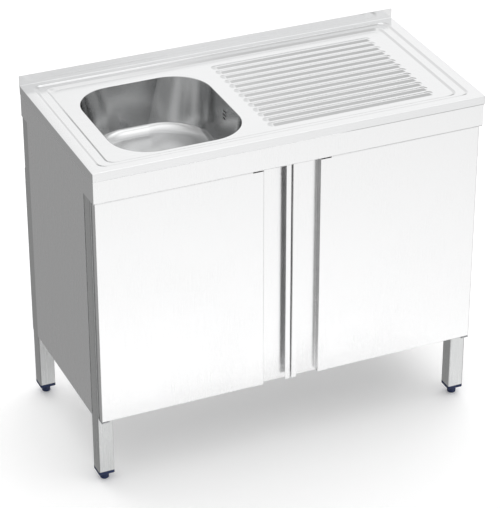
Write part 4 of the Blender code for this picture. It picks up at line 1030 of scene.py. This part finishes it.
def make_hose():
    """The ridged hose from the overflow head to the outlet's spigot, plain at both ends."""
    side = spigot_frame()
    start = Vector((head_axis_x(), OVERFLOW_Y, OVERFLOW_LEVEL - HEAD_RADIUS - SPIGOT_LENGTH + HOSE_LAP))
    end = side @ Vector((0.0, 0.0, TAIL_RADIUS + SPIGOT_LENGTH - HOSE_LAP))
    level = side.to_3x3() @ Vector((0.0, 0.0, 1.0))
    across = level.cross(Vector((0.0, 0.0, 1.0)))
    bend_start = start - Vector((0.0, 0.0, HOSE_STRAIGHT))
    bend_end = end + level * HOSE_STRAIGHT
    corner = Vector((start.x, start.y, end.z))
    outer = SPIGOT_RADIUS + FIT_GAP + HOSE_WALL
    spots = [(start, outer), (bend_start, outer)]
    for step in range(1, HOSE_RIDGES * 2):
        share = step / (HOSE_RIDGES * 2)
        first = bend_start.lerp(corner, share)
        second = corner.lerp(bend_end, share)
        spots.append((first.lerp(second, share), outer if step % 2 else outer - HOSE_RIDGE))
    spots += [(bend_end, outer), (end, outer)]
    bm = bmesh.new()
    points = [point for point, radius in spots]
    loops = []
    for (point, radius), before, after in zip(spots, points[:1] + points, points[1:] + points[-1:]):
        tangent = (after - before).normalized()
        place = at(*point) @ turned_axes(across, tangent.cross(across), tangent)
        circle = bmesh.ops.create_circle(bm, segments=HOSE_STEPS, radius=radius, matrix=place)
        loops.append(ring_edges(circle))
    bridge(bm, loops)
    add_piece("overflow_hose", bm, WHITE_PLASTIC, "cabinet", "white_plastic", "overflow_pipe",
              sheet=HOSE_WALL, angle=HOSE_SHARP_ANGLE)


# Cabinet sheets

def add_sheet(name, bm, material, body, slot, node, outward):
    """Make a piece of cabinet sheet, thickened behind its outer face, with soft rims."""
    add_piece(name, bm, material, body, slot, node, outward=outward, sheet=BODY_SHEET, soft=RIM_SOFTNESS)


def folded_bar(profile, ends, fold):
    """A sheet folded to a profile of (Y, Z) points that runs along X between two ends."""
    bm = bmesh.new()
    edges = chain(bm, [(ends[0], y, z) for y, z in profile])
    pull(bm, edges, (ends[1] - ends[0], 0, 0))
    round_folds(bm, fold)
    return bm


def make_fascia():
    """The folded fascia under the front lip, whose front reaches over the side sheets."""
    low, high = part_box("front_fascia")
    profile = [(high[1], low[2]), (low[1], low[2]), (low[1], high[2]), (low[1] + FASCIA_TOP_FLANGE, high[2])]
    ends = (low[0], high[0])
    bm = folded_bar(profile, ends, FASCIA_FOLD)
    reach = low[0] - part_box("left_side_panel")[0][0]
    for x, move in zip(ends, (-reach, reach)):
        front = [edge for edge in bm.edges if ends_near(edge, 0, x) and ends_near(edge, 1, low[1])]
        pull(bm, front, (move, 0, 0))
    add_sheet("fascia_sheet", bm, DOOR_STEEL, "cabinet", "steel_body", "front_fascia", (0, -1, 0))


def make_rear_rail():
    """The folded rail along the rear under the worktop."""
    low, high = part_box("rear_rail")
    profile = [(high[1], low[2]), (high[1], high[2]), (low[1], high[2])]
    bm = folded_bar(profile, (low[0], high[0]), FOLD_RADIUS)
    add_sheet("rear_rail_sheet", bm, BODY_STEEL, "cabinet", "steel_body", "rear_rail", (0, 1, 0))


def make_stiffeners():
    """Two hat-shaped stiffeners under the drainer."""
    for node in ("front_stiffener", "rear_stiffener"):
        low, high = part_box(node)
        under = high[2] - BODY_SHEET
        profile = [(low[1], under), (low[1] + HAT_BRIM, under), (low[1] + HAT_BRIM, low[2]),
                   (high[1] - HAT_BRIM, low[2]), (high[1] - HAT_BRIM, under), (high[1], under)]
        bm = folded_bar(profile, (low[0], high[0]), FOLD_RADIUS)
        add_sheet(node + "_hat", bm, BODY_STEEL, "cabinet", "steel_body", node, (0, 0, -1))


def flat_sheet(bm, points):
    """One flat face through the points."""
    bm.faces.new([bm.verts.new(point) for point in points])


def edges_between(bm, axis, value, other, start, stop):
    """Edges on one coordinate plane whose ends lie between two values of another coordinate."""
    chosen = []
    for edge in bm.edges:
        inside = all(start - NEAR < vert.co[other] < stop + NEAR for vert in edge.verts)
        if inside and ends_near(edge, axis, value):
            chosen.append(edge)
    return chosen


def make_side_panel(side_name):
    """A side: the skirt under the worktop and the narrower sheet between the legs, with folds."""
    side = side_sign(side_name)
    node = f"{side_name}_side_panel"
    low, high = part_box(node)
    front_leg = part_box(f"{side_name}_front_leg")
    rear_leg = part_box(f"{side_name}_rear_leg")
    outer = low[0] if side < 0 else high[0]
    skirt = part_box("front_fascia")[0][2]
    fold_front = front_leg[1][1] + FIT_GAP
    fold_rear = rear_leg[0][1] - FIT_GAP
    low_front = front_leg[1][1] - SIDE_FRONT_LAP
    low_rear = rear_leg[0][1] + SIDE_REAR_LAP
    top_front = low[1] + FASCIA_TOP_FLANGE + FIT_GAP
    skirt_front = low[1] + BODY_SHEET + FIT_GAP
    top_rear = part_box("rear_rail")[0][1] - FIT_GAP
    points = [
        (low_front, low[2]), (fold_front, low[2]), (fold_rear, low[2]), (low_rear, low[2]),
        (low_rear, skirt), (high[1], skirt), (high[1], high[2]), (top_rear, high[2]),
        (top_front, high[2]), (skirt_front, high[2]), (skirt_front, skirt), (low_front, skirt),
    ]
    bm = bmesh.new()
    flat_sheet(bm, [(outer, y, z) for y, z in points])
    bottom = edges_between(bm, 2, low[2], 1, fold_front, fold_rear)
    top = edges_between(bm, 2, high[2], 1, top_front, top_rear)
    pull(bm, bottom, (-side * PANEL_FLANGE, 0, 0))
    pull(bm, top, (-side * SIDE_TOP_FLANGE, 0, 0))
    round_folds(bm, FOLD_RADIUS)
    add_sheet(f"{side_name}_side_sheet", bm, BODY_STEEL, "cabinet", "steel_body", node, (side, 0, 0))


def make_back_panel():
    """The back sheet behind the rear legs, folded in between them."""
    low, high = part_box("back_panel")
    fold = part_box("right_rear_leg")[0][0] - FIT_GAP
    across = (low[0], -fold, fold, high[0])
    bm = bmesh.new()
    lower = [(x, high[1], low[2]) for x in across]
    upper = [(x, high[1], high[2]) for x in reversed(across)]
    flat_sheet(bm, lower + upper)
    for level in (low[2], high[2]):
        pull(bm, edges_between(bm, 2, level, 0, -fold, fold), (0, -PANEL_FLANGE, 0))
    round_folds(bm, FOLD_RADIUS)
    add_sheet("back_sheet", bm, BODY_STEEL, "cabinet", "steel_body", "back_panel", (0, 1, 0))


def make_shelf():
    """The cabinet floor, notched round the legs, with its edges turned down."""
    low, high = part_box("bottom_shelf")
    front_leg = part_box("right_front_leg")
    rear_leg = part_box("right_rear_leg")
    narrow = front_leg[0][0] - FIT_GAP
    notch_front = front_leg[1][1] + FIT_GAP
    notch_rear = rear_leg[0][1] - FIT_GAP
    right = [(narrow, low[1]), (narrow, notch_front), (high[0], notch_front),
             (high[0], notch_rear), (narrow, notch_rear), (narrow, high[1])]
    plan = right + [(-x, y) for x, y in reversed(right)]
    bm = bmesh.new()
    flat_sheet(bm, [(x, y, high[2]) for x, y in plan])
    turned_down = edges_between(bm, 1, low[1], 0, -narrow, narrow)
    turned_down += edges_between(bm, 1, high[1], 0, -narrow, narrow)
    for x in (low[0], high[0]):
        turned_down += edges_between(bm, 0, x, 1, notch_front, notch_rear)
    pull(bm, turned_down, (0, 0, low[2] - high[2]))
    round_folds(bm, FOLD_RADIUS)
    add_sheet("shelf_sheet", bm, BODY_STEEL, "cabinet", "steel_body", "bottom_shelf", (0, 0, 1))


# Legs and feet

def stacked_mesh(low, high, levels):
    """A closed block with a rounded plan: loops at (level, inset, radius), capped at both ends."""
    bm = bmesh.new()
    loops = []
    for level, inset, radius in levels:
        inner = (low[0] + inset, low[1] + inset)
        outer = (high[0] - inset, high[1] - inset)
        loops.append(rounded_loop(bm, inner, outer, radius, level))
    bridge(bm, loops)
    for end in (loops[0], loops[-1]):
        bmesh.ops.triangle_fill(bm, edges=end, use_beauty=True)
    return bm


def make_leg(corner):
    """A square tube leg with its blue plug and the adjustable foot."""
    low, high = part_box(f"{corner}_leg")
    bm = bmesh.new()
    ends = [rounded_loop(bm, low[:2], high[:2], TUBE_RADIUS, level) for level in (low[2], high[2])]
    bridge(bm, ends)
    add_piece(f"{corner}_tube", bm, TUBE_STEEL, "cabinet", "steel_body", f"{corner}_leg",
              sheet=LEG_WALL, soft=RIM_SOFTNESS)
    make_plug(corner, low[2] - FIT_GAP)
    make_foot(corner)


def make_plug(corner, flange_top):
    """The plug of a leg: a flange under the tube and a core inside it."""
    low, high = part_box(f"{corner}_leg_plug")
    inner = LEG_WALL + FIT_GAP
    levels = [
        (low[2], PLUG_ROUNDING, PLUG_UNDER_RADIUS),
        (low[2] + PLUG_BEND, PLUG_BEND, TUBE_RADIUS),
        (low[2] + PLUG_ROUNDING, 0.0, TUBE_RADIUS),
        (flange_top - PLUG_EDGE, 0.0, TUBE_RADIUS),
        (flange_top, PLUG_EDGE, TUBE_RADIUS),
        (flange_top + PLUG_STEP, inner, PLUG_CORE_RADIUS),
        (high[2], inner, PLUG_CORE_RADIUS),
    ]
    bm = stacked_mesh(low, high, levels)
    add_piece(f"{corner}_plug", bm, BLUE_PLASTIC, "cabinet", "blue_plastic", f"{corner}_leg_plug")


def make_foot(corner):
    """The turned adjustable foot with its threaded stem."""
    low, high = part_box(f"{corner}_foot")
    radius = (high[0] - low[0]) / 2
    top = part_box(f"{corner}_leg_plug")[0][2] - FIT_GAP
    profile = [(0.0, 0.0), (radius - FOOT_EDGE, 0.0), (radius, FOOT_EDGE), (radius, top - FOOT_EDGE),
               (radius - FOOT_EDGE, top), (STEM_RADIUS, top)]
    turns = int((high[2] - top) / THREAD_STEP)
    for turn in range(turns):
        level = top + (high[2] - top) * (turn + 0.5) / turns
        profile.append((STEM_RADIUS if turn % 2 else STEM_RADIUS - THREAD_DEPTH, level))
    profile.append((0.0, high[2]))
    bm = turned_mesh(profile, box_axis(low, high, 0), edge=FOOT_SOFTNESS, steps=FOOT_STEPS)
    add_piece(f"{corner}_pad", bm, BLUE_PLASTIC, f"foot_{corner}", "blue_plastic", f"{corner}_foot")


# Doors

def make_door(side_name):
    """A hinged door: folded skin, liner, bushes and strike plate."""
    side = side_sign(side_name)
    body = f"{side_name}_door"
    make_door_skin(side_name, side, body)
    make_block(f"{side_name}_door_liner", f"{side_name}_door_back", BODY_STEEL, body, "steel_body",
               SHEET_EDGE)
    make_block(f"{side_name}_strike_plate", f"{side_name}_strike", PART_STEEL, body, "steel_part",
               SMALL_EDGE)
    for end in ("bottom", "top"):
        make_bush(f"{side_name}_{end}_bush", body, end)


def make_door_skin(side_name, side, body):
    """The door's outer sheet: edge, flat front, finger-pull channel and meeting lip."""
    node = f"{side_name}_door_skin"
    low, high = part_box(node)
    outer = low[0] if side < 0 else high[0]
    width = high[0] - low[0]
    thick = high[1] - low[1]
    channel_end = width - LIP_WIDTH
    channel_start = channel_end - CHANNEL_WIDTH
    corners = [
        (DOOR_BACK_FLANGE, thick, 0.0), (0.0, thick, DOOR_REAR_RADIUS), (0.0, 0.0, DOOR_FRONT_RADIUS),
        (channel_start, 0.0, FOLD_RADIUS), (channel_start, CHANNEL_DEPTH, FOLD_RADIUS),
        (width, CHANNEL_DEPTH, FOLD_RADIUS), (width, BODY_SHEET, FOLD_RADIUS), (channel_end, BODY_SHEET, 0.0),
    ]

    def place(along, back):
        """X and Y at a distance along the door from its outer edge and behind its front."""
        return (outer - side * along, low[1] + back)

    bm = bmesh.new()
    edges = chain(bm, [(*place(along, back), low[2]) for along, back, radius in corners])
    pull(bm, edges, (0, 0, high[2] - low[2]))
    flange_x = place(DOOR_FRONT_RADIUS + DOOR_FLANGE_MARGIN, 0)[0]
    notch_x = place(channel_start - NOTCH_WIDTH, 0)[0]
    for x in (flange_x, notch_x):
        cut_front(bm, low[1], (x, 0, 0), (1, 0, 0))
    notch_level = high[2] - NOTCH_DEPTH
    cut_front(bm, low[1], (0, 0, notch_level), (0, 0, 1))
    delete_notch(bm, low[1], sorted((notch_x, place(channel_start, 0)[0])), notch_level)
    start, stop = sorted((flange_x, notch_x))
    for level in (low[2], high[2]):
        folds = [edge for edge in edges_between(bm, 2, level, 0, start, stop) if ends_near(edge, 1, low[1])]
        pull(bm, folds, (0, DOOR_FLANGE_DEPTH, 0))
        round_edges(bm, folds, DOOR_FOLD, DOOR_FOLD_STEPS)
    for along, back, radius in corners:
        x, y = place(along, back)
        uprights = [edge for edge in bm.edges if ends_near(edge, 0, x) and ends_near(edge, 1, y)
                    and len(edge.link_faces) == 2]
        if radius:
            round_edges(bm, uprights, radius, CORNER_STEPS)
    add_sheet(f"{side_name}_door_sheet", bm, DOOR_STEEL, body, "steel_door", node, (0, -1, 0))


def front_faces(bm, y):
    """Faces that lie in the door's front plane."""
    return [face for face in bm.faces if all(abs(vert.co.y - y) < NEAR for vert in face.verts)]


def cut_front(bm, y, point, normal):
    """Cut the door's front along a plane."""
    geom = unique(item for face in front_faces(bm, y) for item in (face, *face.edges, *face.verts))
    bmesh.ops.bisect_plane(bm, geom=geom, dist=MERGE_DISTANCE, plane_co=point, plane_no=normal)


def delete_notch(bm, y, ends, level):
    """Take away the part of the door's front between two ends and above a level."""
    notch = []
    for face in front_faces(bm, y):
        middle = face.calc_center_median()
        if ends[0] < middle.x < ends[1] and middle.z > level:
            notch.append(face)
    bmesh.ops.delete(bm, geom=notch, context="FACES")


def make_block(node, name, material, body, slot, radius):
    """A block with rounded edges in the place of a node."""
    low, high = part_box(node)
    add_piece(name, box_mesh(low, high, radius), material, body, slot, node)


def turned_end(node, profile, end, edge):
    """A turned piece that points up from the lower end of its box, or down from the upper end."""
    low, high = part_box(node)
    level, up = (low[2], 1.0) if end == "bottom" else (high[2], -1.0)
    place = box_axis(low, high, level) @ Matrix.Diagonal((1, 1, up, 1))
    return turned_mesh(profile, place, edge=edge, steps=PIN_STEPS)


def make_bush(node, body, end):
    """A flanged nylon bush in the end of a door."""
    low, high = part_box(node)
    flange = (high[0] - low[0]) / 2
    length = high[2] - low[2]
    profile = [(BUSH_BORE, 0.0), (flange, 0.0), (flange, BUSH_FLANGE), (flange - BUSH_WALL, BUSH_FLANGE),
               (flange - BUSH_WALL, length), (BUSH_BORE, length)]
    bm = turned_end(node, profile, end, BUSH_EDGE)
    add_piece(node + "_ring", bm, WHITE_PLASTIC, body, "white_plastic", node)


def make_hinge(side_name):
    """The fixed half of a door's hinges: a tab and two headed pins."""
    make_block(f"{side_name}_hinge_tab", f"{side_name}_tab", PART_STEEL, "cabinet", "steel_part", TAB_EDGE)
    for end in ("bottom", "top"):
        node = f"{side_name}_{end}_pin"
        low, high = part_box(node)
        length = high[2] - low[2]
        head = (high[0] - low[0]) / 2
        profile = [(0.0, 0.0), (head, 0.0), (head, PIN_HEAD), (PIN_RADIUS, PIN_HEAD), (PIN_RADIUS, length),
                   (0.0, length)]
        bm = turned_end(node, profile, end, PIN_EDGE)
        add_piece(node + "_turned", bm, PART_STEEL, "cabinet", "steel_part", node)


# Catches

def make_catches():
    """The catch plate with a magnet for each door and its screws."""
    make_block("catch_plate", "catch_strip", BODY_STEEL, "cabinet", "steel_body", SHEET_EDGE)
    for side_name in ("left", "right"):
        node = f"{side_name}_catch_magnet"
        bm = box_mesh(*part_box(node), MAGNET_EDGE)
        front = min(bm.faces, key=lambda face: face.calc_center_median().y)
        bmesh.ops.inset_region(bm, faces=[front], thickness=MAGNET_RIM)
        bmesh.ops.translate(bm, verts=front.verts, vec=(0, MAGNET_RECESS, 0))
        add_piece(f"{side_name}_magnet_case", bm, WHITE_PLASTIC, "cabinet", "white_plastic", node)
    for number in range(1, SCREW_COUNT + 1):
        make_screw(f"catch_screw_{number}")


def make_screw(node):
    """A screw with a domed and dimpled head."""
    low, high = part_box(node)
    head = (high[0] - low[0]) / 2
    length = high[2] - low[2]
    shank = head / 2
    profile = [(0.0, 0.0), (shank, SCREW_TIP), (shank, length - SCREW_HEAD), (head, length - SCREW_HEAD)]
    profile += [(head * share, length - drop) for share, drop in SCREW_DOME]
    bm = turned_mesh(profile, box_axis(low, high, low[2]), edge=SCREW_EDGE, steps=SCREW_STEPS)
    add_piece(node + "_turned", bm, PART_STEEL, "cabinet", "steel_part", node)


make_worktop()
make_bowl()
make_waste_flange()
make_strainer()
make_waste_seal()
make_waste_nut()
make_outlet()
make_overflow()
make_fascia()
make_rear_rail()
make_stiffeners()
make_back_panel()
make_shelf()
make_catches()
for hand in ("left", "right"):
    make_side_panel(hand)
    make_leg(f"{hand}_front")
    make_leg(f"{hand}_rear")
    make_door(hand)
    make_hinge(hand)


# Room, light and camera

# Brightness of the studio over the height of a direction, behind and in front of the cabinet
BACK_LIGHT = ((0.0, 0.16), (0.15, 0.40), (0.30, 0.97), (0.50, 1.0), (0.62, 0.78), (0.72, 0.46),
              (0.80, 0.62), (0.90, 1.10), (1.0, 1.35))
BACK_LEFT_LIGHT = ((0.0, 0.20), (0.12, 0.55), (0.30, 0.97), (0.50, 1.0), (0.70, 0.95), (0.90, 1.10),
                   (1.0, 1.35))
BACK_LEFT_EDGE = (0.315, 0.355)
FRONT_LIGHT = ((0.0, 0.80), (0.30, 0.86), (0.45, 0.92), (0.55, 0.62), (0.67, 0.62), (0.73, 1.85),
               (0.79, 1.85), (0.85, 1.15), (0.92, 2.0), (1.0, 1.9))
FRONT_EDGE = (0.25, -0.25)
# Shade of the studio from left to right
LEFT_SHADE = ((0.0, 0.55), (0.25, 0.58), (0.45, 0.80), (0.632, 0.82), (0.645, 1.0))
# Brightness below the horizon from left to right, in front and behind, and its fade towards the horizon
LOW_FRONT_LIGHT = ((0.0, 0.15), (0.20, 0.20), (0.32, 0.34), (0.45, 0.77), (0.60, 1.24), (0.78, 1.24),
                   (0.90, 0.40), (1.0, 0.30))
LOW_BACK_LIGHT = ((0.0, 0.30), (0.5, 0.32), (1.0, 0.40))
LOW_BACK_EDGE = (-0.60, -0.35)
LOW_FADE = (-0.45, -0.54)
FADE_LEVEL = 0.69
HORIZON_EDGE = (-0.06, 0.08)
# Floor: its size, colour and glow, and the edges of the part that steel mirrors
FLOOR_SIZE = 9.0
FLOOR_CELLS = 8
FLOOR_COLOUR = 0.90
FLOOR_ROUGHNESS = 0.9
FLOOR_GLOW = 0.17
FLOOR_SIDE_EDGE = (0.515, 0.475)
FLOOR_FRONT_EDGE = (-0.59, -0.45)
FLOOR_REAR_EDGE = (-0.17, -0.24)
FLOOR_LEFT_EDGE = (-0.26, -0.34)
# Lamp and camera, with angles in degrees and the lens in millimetres
LAMP_ANGLES = (-34.0, 10.0, 0.0)
LAMP_SPREAD = 70.0
LAMP_POWER = 0.95
CAMERA_PLACE = (-2.08329, -4.73229, 3.36210)
CAMERA_ANGLES = (60.299, 0.0, -23.728)
CAMERA_LENS = 169.5
CAMERA_SENSOR = 36.0


def near_legs(tree):
    """One on the floor in front of the legs, falling softly to none around the cabinet."""
    place = add_node(tree, "ShaderNodeTexCoord").outputs["Object"]
    parts = add_node(tree, "ShaderNodeSeparateXYZ", {"Vector": place})
    x, y = parts.outputs["X"], parts.outputs["Y"]
    across = spread(tree, combine(tree, "ABSOLUTE", x, 0.0), *FLOOR_SIDE_EDGE)
    before = spread(tree, y, *FLOOR_FRONT_EDGE)
    strip = combine(tree, "MAXIMUM", spread(tree, y, *FLOOR_REAR_EDGE), spread(tree, x, *FLOOR_LEFT_EDGE))
    return combine(tree, "MULTIPLY", across, combine(tree, "MULTIPLY", before, strip))


def make_floor():
    """A plain pale floor that keeps the object's shadow, and that steel mirrors only near the legs."""
    bm = bmesh.new()
    bmesh.ops.create_grid(bm, x_segments=FLOOR_CELLS, y_segments=FLOOR_CELLS, size=FLOOR_SIZE)
    mesh = bpy.data.meshes.new("studio_floor")
    bm.to_mesh(mesh)
    bm.free()
    floor = bpy.data.objects.new("studio_floor", mesh)
    scene.collection.objects.link(floor)
    material, tree, shader = new_material("pale_floor")
    path = add_node(tree, "ShaderNodeLightPath")
    mirrored = path.outputs["Is Glossy Ray"]
    away = combine(tree, "SUBTRACT", 1.0, near_legs(tree))
    hidden = combine(tree, "MULTIPLY", mirrored, away)
    tree.links.new(combine(tree, "SUBTRACT", 1.0, hidden), shader.inputs["Alpha"])
    shader.inputs["Base Color"].default_value = (FLOOR_COLOUR, FLOOR_COLOUR, FLOOR_COLOUR, 1.0)
    shader.inputs["Roughness"].default_value = FLOOR_ROUGHNESS
    shader.inputs["Specular IOR Level"].default_value = 0.0
    seen = combine(tree, "ADD", path.outputs["Is Camera Ray"], mirrored)
    seen = combine(tree, "ADD", seen, path.outputs["Is Transmission Ray"])
    glow = combine(tree, "MULTIPLY", seen, FLOOR_GLOW)
    shader.inputs["Emission Color"].default_value = (1, 1, 1, 1)
    tree.links.new(glow, shader.inputs["Emission Strength"])
    mesh.materials.append(material)


def make_lamp():
    """A wide soft light from overhead, which the steel does not mirror."""
    light = bpy.data.lights.new("overhead_softbox", "SUN")
    light.angle = math.radians(LAMP_SPREAD)
    light.energy = LAMP_POWER
    lamp = bpy.data.objects.new("overhead_softbox", light)
    lamp.rotation_euler = [math.radians(angle) for angle in LAMP_ANGLES]
    lamp.visible_glossy = False
    scene.collection.objects.link(lamp)


def add_ramp(tree, source, stops):
    """A grey that follows stops of (position, brightness) over the source value."""
    node = add_node(tree, "ShaderNodeValToRGB", {"Fac": source})
    elements = node.color_ramp.elements
    while len(elements) < len(stops):
        elements.new(0.5)
    for element, (position, level) in zip(elements, stops):
        element.position = position
        element.color = (level, level, level, 1.0)
    return node.outputs["Color"]


def make_world():
    """Soft studio light that changes with height, dimmer on the left and below the horizon."""
    world = bpy.data.worlds.new("soft_studio")
    scene.world = world
    world.use_nodes = True
    tree = world.node_tree
    direction = add_node(tree, "ShaderNodeTexCoord").outputs["Generated"]
    parts = add_node(tree, "ShaderNodeSeparateXYZ", {"Vector": direction})
    x, y, z = (parts.outputs[axis] for axis in "XYZ")
    rightness = spread(tree, x, -1.0, 1.0, kind="LINEAR")
    frontness = spread(tree, y, *FRONT_EDGE, kind="LINEAR")
    back = mixed(tree, spread(tree, x, *BACK_LEFT_EDGE), add_ramp(tree, z, BACK_LEFT_LIGHT),
                 add_ramp(tree, z, BACK_LIGHT))
    upper = mixed(tree, frontness, back, add_ramp(tree, z, FRONT_LIGHT))
    upper = mixed(tree, 1.0, upper, add_ramp(tree, rightness, LEFT_SHADE), "MULTIPLY")
    fade = add_ramp(tree, spread(tree, z, *LOW_FADE), ((0.0, FADE_LEVEL), (1.0, 1.0)))
    low_front = mixed(tree, 1.0, add_ramp(tree, rightness, LOW_FRONT_LIGHT), fade, "MULTIPLY")
    low_back = add_ramp(tree, rightness, LOW_BACK_LIGHT)
    lower = mixed(tree, spread(tree, y, *LOW_BACK_EDGE), low_front, low_back)
    light = mixed(tree, spread(tree, z, *HORIZON_EDGE), lower, upper)
    tree.links.new(light, tree.nodes["Background"].inputs["Color"])
    tree.nodes["Background"].inputs["Strength"].default_value = 1.0


def make_camera():
    """The camera at the photograph's viewing angle."""
    lens = bpy.data.cameras.new("photo_camera")
    lens.lens = CAMERA_LENS
    lens.sensor_width = CAMERA_SENSOR
    camera = bpy.data.objects.new("photo_camera", lens)
    camera.location = CAMERA_PLACE
    camera.rotation_euler = [math.radians(angle) for angle in CAMERA_ANGLES]
    scene.collection.objects.link(camera)
    scene.camera = camera


make_floor()
make_lamp()
make_world()
make_camera()
scene.view_settings.view_transform = "Standard"
